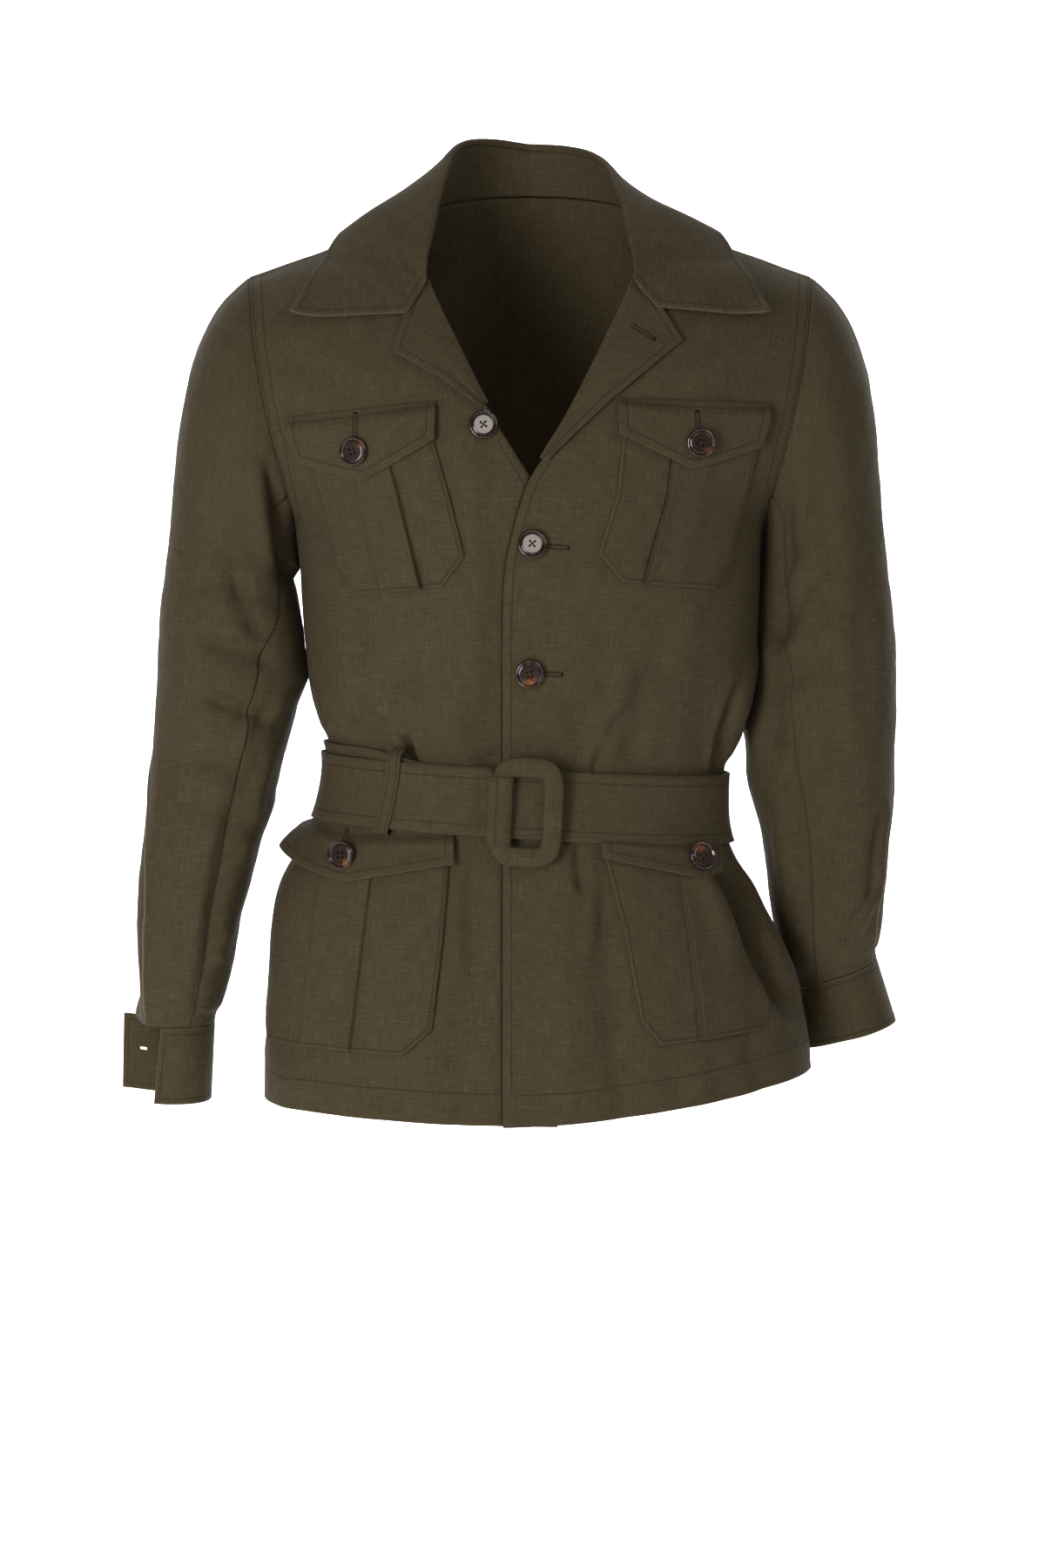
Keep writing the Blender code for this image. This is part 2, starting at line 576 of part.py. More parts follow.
def neck_seam(share):
    # along the front's neck edge, then the back's neckline
    if share < 0.45:
        point = front_form(LEFT, 0.0, 3 - 3 * share / 0.45)
    else:
        point = back_form(NECK_SHARE * (1 - (share - 0.45) / 0.55), 0)
    return Vector((abs(point.x), point.y, point.z))


def stand_point(u, v):
    side, share = (RIGHT, u * 2) if u < 0.5 else (LEFT, 2 - u * 2)
    share = mix(STAND_FROM, 1.0, share)
    fold, seam = collar_line(share, 0, COLLAR_RISE[side]), neck_seam(share)
    inward = Vector((-seam.x, -seam.y - 0.02, 0)).normalized() * STAND_IN
    top = fold + inward - Vector((0, 0, STAND_UNDER))
    point = mix(top, seam + inward * STAND_EDGE + Vector((0, 0, STAND_SEAM)), v)
    point.x *= side
    return point


def make_collar():
    cloth("collar", 32, 5, collar_point, COLLAR_WALL, linen)
    cloth("collar_stand", 26, 2, stand_point, WALL, linen)


def make_lapels():
    for side, (end_row, edge) in LAPELS.items():
        def lapel(u, v):
            roll = front_form(side, 0.012, mix(3.05, end_row, v))
            x = piecewise([(stop.along, stop.x) for stop in edge], v)
            z = piecewise([(stop.along, stop.z) for stop in edge], v)
            place, normal = front_hit(side, mix(roll.x, side * x, u), mix(roll.z, z, u))
            return place + normal * (WALL / 2 + LAY + TRIM_WALL / 2)
        cloth("lapel_" + side_name(side), 4, 8, lapel, TRIM_WALL, linen)


def pocket_row(rows, v):
    at = v * (len(rows) - 1)
    i = min(int(at), len(rows) - 2)
    return PocketRow(*(mix(a, b, at - i) for a, b in zip(rows[i], rows[i + 1])))


def make_pockets():
    for (where, side), rows in POCKETS.items():
        def pocket(u, v):
            across = POCKET_STEPS[round(u * (len(POCKET_STEPS) - 1))]
            row = pocket_row(rows, v)
            z = mix(row.in_z, row.out_z, across)
            place, normal = lay_on(side, row.in_x, row.width * across, z, LAY_REACH)
            rise = PLEAT_RISE if PLEAT[0] < across < PLEAT[1] else 0.0
            return place + normal * (POCKET_LIFT[where] + rise)
        cloth("pocket_%s_%s" % (where, side_name(side)), len(POCKET_STEPS) - 1, 9, pocket, TRIM_WALL, linen)
    for (where, side), flap in FLAPS.items():
        lift = POCKET_LIFT[where] + PLEAT_RISE + LAY * 1.5 + TRIM_WALL
        drops = [(0.0, flap.drop_in), (0.5, flap.drop_point), (1.0, flap.drop_out)]

        def hang(u, v):
            z = mix(flap.in_z, flap.out_z, u) - v * piecewise(drops, u)
            place, normal = lay_on(side, flap.in_x, flap.width * u, z, LAY_REACH)
            return place + normal * lift
        cloth("flap_%s_%s" % (where, side_name(side)), 10, 4, hang, TRIM_WALL, linen)
        place, out = lay_on(side, flap.in_x, flap.width * 0.5,
                            mix(flap.in_z, flap.out_z, 0.5) - flap.drop_point * BUTTON_DOWN[where], LAY_REACH)
        make_button("button_%s_%s" % (where, side_name(side)), place + out * lift, out, TRIM_WALL / 2 + LAY)


def make_button(name, place, out, lift):
    # a turned disc with a raised rim and a dished face
    profile = bmesh.new()
    last = None
    for radius, height in BUTTON_PROFILE:
        vert = profile.verts.new((radius * BUTTON_R, 0, height * BUTTON_T))
        if last:
            profile.edges.new((last, vert))
        last = vert
    button = finish(name, profile, horn)
    screw = button.modifiers.new("turn", "SCREW")
    screw.steps = screw.render_steps = 12
    screw.use_merge_vertices = True
    screw.merge_threshold = 0.00001
    turn = out.to_track_quat("Z", "Y").to_matrix().to_4x4()
    button.matrix_world = Matrix.Translation(place + out * lift) @ turn


def belt_z(x):
    return BELT_MID_Z + BELT_TILT * x


def on_belt(angle, height, lift, reach=BELT_REACH):
    # height -1 lower edge to 1 upper edge; bridges steps nearer than reach
    z = BELT_MID_Z
    for _ in range(3):
        place, normal = body_hit(angle, z)
        z = belt_z(place.x) + height * BELT_HALF
    out = Vector((normal.x, normal.y, 0)).normalized()
    rise = max(0.0, *((body_hit(angle + turn, z)[0] - place).dot(out) for turn in (-reach, reach)))
    return place + out * (lift + rise)


BASE_LIFT = WALL / 2 + BELT_LAY + BELT_WALL / 2
END_LIFT = BASE_LIFT + BELT_WALL + LAY * 3


def make_belt():
    start, end = radians(-12), radians(347.3)
    cloth("belt", 54, 2, lambda u, v: on_belt(mix(start, end, u), 1 - 2 * v, BASE_LIFT), BELT_WALL, linen)
    start, end = radians(9), radians(-104)
    cloth("belt_end", 18, 2,
          lambda u, v: on_belt(mix(start, end, u), (1 - 2 * v) * 0.97, END_LIFT, END_REACH), BELT_WALL, linen)

    path = ((1.15, 0.0026), (1.14, 0.0060), (1.10, 0.0098), (0.9, 0.0112), (0.0, 0.0112), (-0.9, 0.0112),
            (-1.10, 0.0098), (-1.14, 0.0060), (-1.15, 0.0026))       # height and lift over the belt

    def keeper(u, v):
        height, lift = path[round(v * (len(path) - 1))]
        return on_belt(radians(mix(-50.0, -54.0, u) + 1.2 * height), height, lift)
    cloth("belt_keeper", 3, len(path) - 1, keeper, TRIM_WALL, linen)


def make_buckle():
    place, _ = front_hit(LEFT, *BUCKLE_MID)
    lift = END_LIFT + BELT_WALL / 2 + BUCKLE_BAR[1] + BUCKLE_GAP
    centre = place + Vector((0, -1, 0)) * lift

    def frame(u, v):
        # a bar of oval section bent round a rounded oblong
        turn = u * 2 * pi
        half_x, half_z = BUCKLE_HALF
        x, z = cos(turn), sin(turn)
        x, z = [abs(k) ** BUCKLE_SQUARE * (1 if k > 0 else -1) for k in (x, z)]
        side_x, side_z = Vector((x ** 3 / half_x, z ** 3 / half_z)).normalized()
        ring = cos(v * 2 * pi) * BUCKLE_BAR[0]
        lean_x, lean_z = half_x * x + side_x * ring, half_z * z + side_z * ring
        turn_x = lean_x * cos(BUCKLE_LEAN) - lean_z * sin(BUCKLE_LEAN)
        turn_z = lean_x * sin(BUCKLE_LEAN) + lean_z * cos(BUCKLE_LEAN)
        return centre + Vector((turn_x, sin(v * 2 * pi) * BUCKLE_BAR[1], turn_z))
    bm = bmesh.new()
    bmesh.ops.create_grid(bm, x_segments=28, y_segments=8, size=0.5)
    for vert in bm.verts:
        vert.co = frame(vert.co.x + 0.5, vert.co.y + 0.5)
    bmesh.ops.remove_doubles(bm, verts=bm.verts, dist=0.00001)
    bmesh.ops.recalc_face_normals(bm, faces=bm.faces)
    finish("buckle", bm, linen)


def make_front_buttons():
    for number, (side, x, z) in enumerate(FRONT_BUTTONS, 1):
        place, out = front_hit(side, x, z)
        make_button("button_front_%d" % number, place, out, WALL / 2 + LAY)


for item in list(bpy.data.objects):
    bpy.data.objects.remove(item, do_unlink=True)
jacket = bpy.data.collections.new("linen_jacket")
bpy.context.scene.collection.children.link(jacket)
linen = make_material("olive_linen", LINEN, 0.9)
horn = make_material("tortoiseshell", HORN, 0.25)
rows_end = len(FRONT_ROWS) - 1
front_faces = {side: lambda u, v, side=side: front_point(side, u, v * rows_end) for side in (RIGHT, LEFT)}
front_trees = {side: surface_tree([face]) for side, face in front_faces.items()}
body_tree = surface_tree([*front_faces.values(), lambda u, v: back_point(u * 2 - 1, v * rows_end)])

make_panels()
make_sleeves()
make_cuffs()
make_collar()
make_lapels()
make_pockets()
make_belt()
make_buckle()
make_front_buttons()
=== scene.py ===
# Belted linen safari jacket: fine cloth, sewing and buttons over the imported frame.
# Metres, front towards -Y, the wearer's right is -X.
from collections import defaultdict, namedtuple
from math import cos, exp, floor, hypot, pi, radians, sin

import bmesh
import bpy
from mathutils import Matrix, Vector, noise
from mathutils.bvhtree import BVHTree
from mathutils.kdtree import KDTree


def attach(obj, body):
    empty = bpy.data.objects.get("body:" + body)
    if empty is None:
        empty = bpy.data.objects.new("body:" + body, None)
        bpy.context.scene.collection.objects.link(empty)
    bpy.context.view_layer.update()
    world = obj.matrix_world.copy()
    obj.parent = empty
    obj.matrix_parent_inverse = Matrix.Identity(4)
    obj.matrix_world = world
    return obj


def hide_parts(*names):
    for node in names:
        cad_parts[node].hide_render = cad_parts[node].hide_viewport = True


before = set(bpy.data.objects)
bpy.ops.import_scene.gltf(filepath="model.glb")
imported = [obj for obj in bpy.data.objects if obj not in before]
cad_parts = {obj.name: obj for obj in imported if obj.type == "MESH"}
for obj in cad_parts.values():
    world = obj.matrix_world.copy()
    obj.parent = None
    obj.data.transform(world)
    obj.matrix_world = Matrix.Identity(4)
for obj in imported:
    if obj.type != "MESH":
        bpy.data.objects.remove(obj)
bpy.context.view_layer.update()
right, left = -1, 1
sideName = {right: "right", left: "left"}
up = Vector((0, 0, 1))
weld = 0.00001                     # nearer points become one
# the shader paints shade along the first three rows, at stitch rows, pleat folds and sleeve seams, and along
# the last, a line beside the lapped front edge
seamNames = ("seamRow", "seamRowTwo", "seamRowThree", "lapRow")      # how far the cloth is from its sewn rows
print("frame loaded,", len(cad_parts), "nodes")


class Wire:
    # a shader value; sums on it add Math nodes
    def __init__(self, net, socket):
        self.net = net
        self.socket = socket

    def maths(self, operation, first, second):
        return self.net.add("ShaderNodeMath", {"operation": operation}, {0: first, 1: second})

    def __add__(self, other):
        return self.maths("ADD", self, other)

    def __radd__(self, other):
        return self.maths("ADD", other, self)

    def __sub__(self, other):
        return self.maths("SUBTRACT", self, other)

    def __rsub__(self, other):
        return self.maths("SUBTRACT", other, self)

    def __mul__(self, other):
        return self.maths("MULTIPLY", self, other)

    def __rmul__(self, other):
        return self.maths("MULTIPLY", other, self)

    def __abs__(self):
        return self.maths("ABSOLUTE", self, 0.0)


class Net:
    # one material's nodes
    def __init__(self, name):
        self.material = bpy.data.materials.new(name)
        self.material.use_nodes = True
        self.tree = self.material.node_tree
        self.shader = self.tree.nodes["Principled BSDF"]

    def add(self, kind, settings=None, sockets=None, output=0):
        node = self.tree.nodes.new(kind)
        for key, value in (settings or {}).items():
            if key == "stops":
                ramp = node.color_ramp.elements
                while len(ramp) < len(value):
                    ramp.new(0.5)
                for stop, (place, colour) in zip(ramp, value):
                    stop.position = place
                    stop.color = (*colour, 1)
            else:
                setattr(node, key, value)
        self.feed(node, sockets or {})
        return Wire(self, node.outputs[output])

    def feed(self, node, sockets):
        for key, value in sockets.items():
            if isinstance(value, Wire):
                self.tree.links.new(value.socket, node.inputs[key])
            else:
                node.inputs[key].default_value = value

    def noise(self, vector, scale, detail=2.0, rough=0.5):
        spread = self.add("ShaderNodeMapping", {"vector_type": "POINT"}, {"Vector": vector, "Scale": scale})
        return self.add("ShaderNodeTexNoise", {"noise_dimensions": "3D"},
                        {"Vector": spread, "Scale": 1.0, "Detail": detail, "Roughness": rough})

    def clip(self, value, low, high):
        return self.add("ShaderNodeMapRange", {"interpolation_type": "SMOOTHSTEP"},
                        {"Value": value, "From Min": low, "From Max": high})

    def blend(self, share, first, second):
        return self.add("ShaderNodeMix", {"data_type": "RGBA"}, {0: share, 6: first, 7: second}, output=2)


linenLook = {
    "dark": (0.0440, 0.0328, 0.0168, 1), "mid": (0.0690, 0.0525, 0.0262, 1),
    "light": (0.1200, 0.0930, 0.0505, 1), "rust": (0.0780, 0.0510, 0.0260, 1),
    # edge is a lighter colour for edge wear and painted highlight along rims; gap is the colour of the
    # painted shade line along the lapped front edge
    "edge": (0.200, 0.160, 0.100, 1), "gap": (0.016, 0.012, 0.006, 1),
    "darkTo": (0.12, 0.50), "lightFrom": (0.50, 0.98), "rustFrom": (0.48, 0.72), "rustShare": 0.35,
    "weftSlub": (0.60, 0.76), "warpSlub": (0.62, 0.78), "slubShares": (0.30, 0.20),
    "edgeWearAndHighlightShares": (0.18, 0.42), "brightEdgeHighlightShare": 0.8, "grooveShadeShare": 0.62, "lapShadeShare": 0.75,
    "threadsPerMetre": 880, "slubLength": 0.014, "patches": (22, 19, 2), "wornSpots": (150, 120, 9),
    "roughness": 0.88, "roughnessSpread": 0.16, "sheen": 0.025, "sheenRoughness": 0.45, "specular": 0.22,
    "bump": 0.6, "bumpDepth": 0.00032, "lapShadeFrom": (0.0019, 0.0002), "grooveFrom": (0.0009, 0.0001),
    "edgeWearAndHighlightFrom": (0.0013, 0.0003), "brightEdgeHighlightFrom": (0.0, -0.0008), "toneShares": (0.80, 0.80, 0.14, 0.10),
    "toneShift": 0.42, "heightShares": (0.5, 0.5, 0.5, 0.4, -1.3),
}


def weighed(wires, shares):
    return sum(wire * share for wire, share in zip(wires, shares))


def linenMaterial():
    look = linenLook
    net = Net("olive_linen")
    uv = net.add("ShaderNodeTexCoord", output="UV")
    fine, long = look["threadsPerMetre"], 1 / look["slubLength"]
    weft = net.noise(uv, (long, fine, 1), 1.5)
    warp = net.noise(uv, (fine * 1.05, long * 0.8, 7), 1.5)
    weftSlub = net.clip(net.noise(uv, (long * 0.7, fine * 0.6, 3), 1.0), *look["weftSlub"])
    warpSlub = net.clip(net.noise(uv, (fine * 0.6, long * 0.6, 5), 1.0), *look["warpSlub"])
    patch = net.noise(uv, look["patches"], 3.0, 0.55)
    worn = net.noise(uv, look["wornSpots"], 2.0, 0.55)
    tone = weighed((weft, warp, patch, worn), look["toneShares"]) - look["toneShift"]
    low = net.blend(net.clip(tone, *look["darkTo"]), look["dark"], look["mid"])
    ground = net.blend(net.clip(tone, *look["lightFrom"]), low, look["light"])
    warm = net.blend(net.clip(patch, *look["rustFrom"]) * look["rustShare"], ground, look["rust"])
    slubbed = net.blend(weighed((weftSlub, warpSlub), look["slubShares"]), warm, look["light"])
    rows = [net.add("ShaderNodeAttribute", {"attribute_name": name}, output="Fac") for name in seamNames]
    # painted shade: a dark line along the left front's lapped edge
    lap = net.clip(abs(rows.pop()), *look["lapShadeFrom"])
    groove = sum(net.clip(abs(row), *look["grooveFrom"]) for row in rows)
    rim = net.add("ShaderNodeAttribute", {"attribute_name": "rim"}, output="Fac")
    # rims get lighter, partly edge wear and partly painted highlight; past a negative rim shift a bright
    # painted highlight line
    edgeWearAndHighlight = net.clip(rim, *look["edgeWearAndHighlightFrom"])
    brightEdgeHighlight = net.clip(rim, *look["brightEdgeHighlightFrom"])
    evenEdgeShare, spottyEdgeShare = look["edgeWearAndHighlightShares"]
    edged = net.blend(edgeWearAndHighlight * (evenEdgeShare + worn * spottyEdgeShare) + brightEdgeHighlight * look["brightEdgeHighlightShare"], slubbed, look["edge"])
    # painted shade darkens the grooves of stitch rows, pleat folds and sleeve seams, then the lapped edge's
    # line
    sewn = net.blend(groove * look["grooveShadeShare"], edged, look["dark"])
    colour = net.blend(lap * look["lapShadeShare"], sewn, look["gap"])
    height = weighed((weft, warp, weftSlub, warpSlub, groove), look["heightShares"])
    bump = net.add("ShaderNodeBump", {},
                   {"Strength": look["bump"], "Distance": look["bumpDepth"], "Height": height})
    net.feed(net.shader, {"Base Color": colour, "Normal": bump,
                          "Roughness": look["roughness"] + (worn - 0.5) * look["roughnessSpread"],
                          "Sheen Weight": look["sheen"], "Sheen Roughness": look["sheenRoughness"],
                          "Specular IOR Level": look["specular"]})
    return net.material


threadLook = {"pale": (0.062, 0.050, 0.031, 1), "deep": (0.019, 0.015, 0.010, 1), "flecksPerMetre": 1600,
              "detail": 1.0, "roughness": 0.62, "roughnessSpread": 0.2, "specular": 0.3}
# the inside of a slit, raw cloth edges in deep shade
shadeLook = {"pale": (0.012, 0.009, 0.006, 1), "deep": (0.004, 0.003, 0.002, 1), "flecksPerMetre": 2400,
             "detail": 2.0, "roughness": 0.9, "roughnessSpread": 0.1, "specular": 0.1}


def fleckedMaterial(name, look):
    net = Net(name)
    place = net.add("ShaderNodeTexCoord", output="Object")
    fleck = net.noise(place, (look["flecksPerMetre"],) * 3, look["detail"])
    net.feed(net.shader, {"Base Color": net.blend(fleck, look["deep"], look["pale"]),
                          "Roughness": look["roughness"] + fleck * look["roughnessSpread"],
                          "Specular IOR Level": look["specular"]})
    return net.material


hornLook = {
    "stops": [(0.0, (0.0075, 0.0045, 0.0035)), (0.44, (0.026, 0.0105, 0.0055)),
              (0.74, (0.20, 0.062, 0.014)), (1.0, (0.34, 0.13, 0.034))],
    "cloudsPerMetre": 210, "cloudShare": 0.72, "spotShares": (0.12, 0.42), "scuffsPerMetre": 900,
    "roughness": 0.10, "coat": 0.6, "coatRoughness": 0.08, "scuffShares": (0.12, 0.2),
}


def hornMaterial():
    net = Net("tortoiseshell")
    place = net.add("ShaderNodeTexCoord", output="Object")
    # the spot attribute: the horn's own amber, and on front buttons 1 and 2 a painted warm highlight
    spot = net.add("ShaderNodeAttribute", {"attribute_name": "amber"}, output="Fac")
    cloud = net.noise(place, (hornLook["cloudsPerMetre"],) * 3, 3.0, 0.6)
    evenSpot, cloudySpot = hornLook["spotShares"]
    mottle = cloud * hornLook["cloudShare"] + spot * (evenSpot + cloud * cloudySpot)
    colour = net.add("ShaderNodeValToRGB", {"stops": hornLook["stops"]}, {"Fac": mottle})
    scuff = net.noise(place, (hornLook["scuffsPerMetre"],) * 3, 2.0)
    dulled, scraped = hornLook["scuffShares"]
    net.feed(net.shader, {"Base Color": colour, "Roughness": hornLook["roughness"] + scuff * dulled,
                          "Coat Weight": hornLook["coat"] + scuff * scraped,
                          "Coat Roughness": hornLook["coatRoughness"]})
    return net.material


linen = linenMaterial()
thread = fleckedMaterial("sewing_thread", threadLook)
shadow = fleckedMaterial("slit_shade", shadeLook)
horn = hornMaterial()
print("materials made")


def mix(a, b, t):
    return a + (b - a) * t


def ease(t):
    t = min(1.0, max(0.0, t))
    return t * t * (3 - 2 * t)


def spline(points, t):
    # smooth curve through the points; t counts them
    last = len(points) - 1
    i = min(int(t), last - 1) if t > 0 else 0
    k = t - i
    p1, p2 = points[i], points[i + 1]
    p0 = points[i - 1] if i > 0 else p1 * 2 - p2
    p3 = points[i + 2] if i + 2 <= last else p2 * 2 - p1
    return (p1 * 2 + (p2 - p0) * k + (p0 * 2 - p1 * 5 + p2 * 4 - p3) * k * k
            + (p1 * 3 - p0 - p2 * 3 + p3) * k ** 3) * 0.5


def piecewise(stops, t):
    for (t0, a), (t1, b) in zip(stops, stops[1:]):
        if t <= t1:
            return mix(a, b, (t - t0) / (t1 - t0))
    return stops[-1][1]


def within(t, first, last):
    # rises from nothing at 0 and falls to nothing at 1
    return ease(t / first) * ease((1 - t) / last)


def onset(t, span):
    # rises from nothing at the span's start, over its length
    start, length = span
    return ease((t - start) / length)


def bell(t):
    return exp(-t ** 2)


def turnedTo(normal, out):
    return normal if normal.dot(out) > 0 else -normal


def squarish(angle, power):
    # a circle drawn towards a square as the power falls
    return [abs(k) ** power * (1 if k > 0 else -1) for k in (cos(angle), sin(angle))]


def inMetres(kind, rows, plain=()):
    # the tables are in millimetres, apart from the plain columns
    scales = [1 if name in plain else 1000 for name in kind._fields]
    return [kind(*(value / scale for value, scale in zip(row, scales))) for row in rows]


def addObject(name, data):
    thing = bpy.data.objects.new(name, data)
    bpy.context.scene.collection.objects.link(thing)
    return thing


def meshFrom(name, bm, *materials):
    for face in bm.faces:
        face.smooth = True
    mesh = bpy.data.meshes.new(name)
    bm.to_mesh(mesh)
    bm.free()
    for material in materials:
        mesh.materials.append(material)
    return mesh


def pour(source, target):
    # a copy of one shape joins another
    carrier = bpy.data.meshes.new("carrier")
    source.to_mesh(carrier)
    target.from_mesh(carrier)
    bpy.data.meshes.remove(carrier)


def joinTrees(cloths):
    together = bmesh.new()
    for cloth in cloths:
        pour(cloth.bm, together)
    found = BVHTree.FromBMesh(together)
    together.free()
    return found


def pointwise(form):
    # a form of u and v, as the curves that a cloth is made from
    return lambda u: lambda v: form(u, v)


clothCut = {"allRims": ("first", "last", "top", "bottom"), "rimShift": 0.0007, "leastArea": 0.31,
            "farOff": 1.0}


class Cloth:
    # a sheet on a grid: u runs across, v runs down; column(u) gives a curve of v
    def __init__(self, name, columns, rows, column, outward):
        self.name, self.columns, self.rows = name, columns, rows
        self.bm = bmesh.new()
        bmesh.ops.create_grid(self.bm, x_segments=columns, y_segments=rows, size=0.5)
        self.bm.verts.ensure_lookup_table()
        for i in range(columns + 1):
            curve = column(i / columns)
            for j in range(rows + 1):
                self.vert(i, j).co = curve(j / rows)
        self.bm.normal_update()
        middle = self.vert(columns // 2, rows // 2)
        if middle.normal.dot(Vector(outward)) < 0:
            bmesh.ops.reverse_faces(self.bm, faces=self.bm.faces)
            self.bm.normal_update()
        self.measure()
        self.seamRows, self.chains = [], []
        self.cutArea = sum(face.calc_area() for face in self.bm.faces)
        self.cutSize = max(self.rowLength), max(self.columnLength)

    def vert(self, i, j):
        return self.bm.verts[(self.rows - j) * (self.columns + 1) + i]

    def measure(self):
        def run(spots):
            return sum((b - a).length for a, b in zip(spots, spots[1:]))
        acrossRange, downRange = range(self.columns + 1), range(self.rows + 1)
        self.rowLength = [run([self.vert(i, j).co for i in acrossRange]) for j in downRange]
        self.columnLength = [run([self.vert(i, j).co for j in downRange]) for i in acrossRange]
        self.spots = [[(self.vert(i, j).co.copy(), self.vert(i, j).normal.copy()) for i in acrossRange]
                      for j in downRange]

    def push(self, height):
        # move every point along its normal by height(place, u, v, normal)
        moves = []
        for j in range(self.rows + 1):
            for i in range(self.columns + 1):
                vert = self.vert(i, j)
                far = height(vert.co, i / self.columns, j / self.rows, vert.normal)
                moves.append((vert, vert.normal * far))
        for vert, move in moves:
            vert.co += move
        self.bm.normal_update()

    def at(self, u, v, lift=0.0):
        x, y = min(1.0, max(0.0, u)) * self.columns, min(1.0, max(0.0, v)) * self.rows
        i, j = min(int(x), self.columns - 1), min(int(y), self.rows - 1)
        a, b = x - i, y - j
        place, normal = Vector(), Vector()
        for di, dj in ((0, 0), (1, 0), (0, 1), (1, 1)):
            share = (a if di else 1 - a) * (b if dj else 1 - b)
            spot, out = self.spots[j + dj][i + di]
            place += spot * share
            normal += out * share
        normal.normalize()
        return place + normal * lift, normal

    def fromEdges(self, *edges):
        # how far every point is from the edges; (name, from, to) takes a part of one
        spots = []
        for edge in edges:
            name, start, end = edge if isinstance(edge, tuple) else (edge, 0.0, 1.0)
            steps = 4 * (self.rows if name in ("first", "last") else self.columns)
            for k in range(int(start * steps), int(end * steps) + 1):
                share = k / steps
                far = int(name in ("last", "bottom"))
                spots.append(self.at(*((far, share) if name in ("first", "last") else (share, far)))[0])
        near = KDTree(len(spots))
        for k, spot in enumerate(spots):
            near.insert(spot, k)
        near.balance()
        return [[near.find(self.vert(i, j).co)[2] for i in range(self.columns + 1)]
                for j in range(self.rows + 1)]

    def sew(self, *lines):
        # a row of stitches; each line gives a distance and the edges that it keeps from
        fields = [[[far - inset for far in line] for line in self.fromEdges(*edges)]
                  for inset, *edges in lines]
        row = [[min(far) for far in zip(*line)] for line in zip(*fields)]
        self.seamRows.append(row)
        self.chains += self.zeroLine(row)

    def zeroLine(self, row):
        # chains of u, v where the row of stitches crosses the grid
        crossing, links = {}, defaultdict(list)

        def cut(a, b):
            x, y = row[a[1]][a[0]], row[b[1]][b[0]]
            if (x < 0) == (y < 0):
                return None
            k = x / (x - y)
            crossing[a, b] = mix(a[0], b[0], k) / self.columns, mix(a[1], b[1], k) / self.rows
            return a, b
        for j in range(self.rows):
            for i in range(self.columns):
                sides = (cut((i, j), (i + 1, j)), cut((i + 1, j), (i + 1, j + 1)),
                         cut((i, j + 1), (i + 1, j + 1)), cut((i, j), (i, j + 1)))
                hits = [side for side in sides if side]
                for a, b in zip(hits[::2], hits[1::2]):
                    links[a].append(b)
                    links[b].append(a)
        chains = []
        while links:
            here = min(links, key=lambda key: len(links[key]))     # an end, if there is one
            chain = [crossing[here]]
            while links.get(here):
                after = links[here].pop()
                links[after].remove(here)
                if not links[here]:
                    del links[here]
                chain.append(crossing[after])
                here = after
            links.pop(here, None)
            chains.append(chain)
        return chains

    def tree(self):
        return BVHTree.FromBMesh(self.bm)

    def finish(self, node, wall, held, restsOn=(), rims=clothCut["allRims"], rimShift=clothCut["rimShift"]):
        # lay the weave flat in metres, give the cloth its wall and hand it to the frame;
        # a larger rim shift keeps the edge wear and painted highlight off the edges; a negative one lays a
        # bright painted highlight line along them
        self.measure()
        weave = self.bm.loops.layers.uv.new("weave")
        middle = self.columns // 2
        flat = {}
        down = 0.0
        for j in range(self.rows + 1):
            if j:
                down += (self.spots[j][middle][0] - self.spots[j - 1][middle][0]).length
            for way in (1, -1):
                across = 0.0
                i = middle
                while 0 <= i <= self.columns:
                    if i != middle:
                        across += (self.spots[j][i][0] - self.spots[j][i - way][0]).length
                    flat[self.vert(i, j)] = (way * across, -down)
                    i += way
        for face in self.bm.faces:
            for loop in face.loops:
                loop[weave].uv = flat[loop.vert]
        self.surface = self.tree()
        fields = dict(zip(seamNames, self.seamRows))
        if rims:
            fields["rim"] = [[far + rimShift for far in line] for line in self.fromEdges(*rims)]
        for name, field in fields.items():
            layer = self.bm.verts.layers.float.new(name)
            for j in range(self.rows + 1):
                for i in range(self.columns + 1):
                    self.vert(i, j)[layer] = field[j][i]
        farFromSeams(self.bm, [name for name in (*seamNames, "rim") if name not in fields])
        self.piece = addPiece(self.name, meshFrom(self.name, self.bm, linen), "linen", node)
        solid = self.piece.modifiers.new("wall", "SOLIDIFY")
        solid.thickness = wall
        solid.offset = 0.0
        self.wall = wall
        width, length = self.cutSize
        area = min(self.cutArea, width * length)
        max(area, clothCut["leastArea"] * width * length)
        return self


def farFromSeams(bm, names):
    for name in names:
        layer = bm.verts.layers.float.new(name)
        for vert in bm.verts:
            vert[layer] = clothCut["farOff"]


def addPiece(name, mesh, slot, *nodes):
    piece = addObject(name, mesh)
    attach(piece, "root")
    if nodes and nodes[0]:
        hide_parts(*nodes)
    return piece


# Folds are the large ones of the frame's own solids; creases are finer ridges or troughs, uneven along
# their line. Both are lines in x and z, seen from the front or back.
Fold = namedtuple("Fold", "x0 z0 x1 z1 half depth")
Crease = namedtuple("Crease", "x0 z0 x1 z1 half depth bow")
creaseForm = {"overrun": 0.25, "foldFade": 0.40, "foldReach": 3.0, "fade": 0.45, "reach": 3.4,
              "uneven": (0.85, 0.5, 50, 3), "shoulder": 0.4, "shoulderAt": 1.5,
              "rumple": ((26, 1), (61, 0.5), (150, 0.22))}


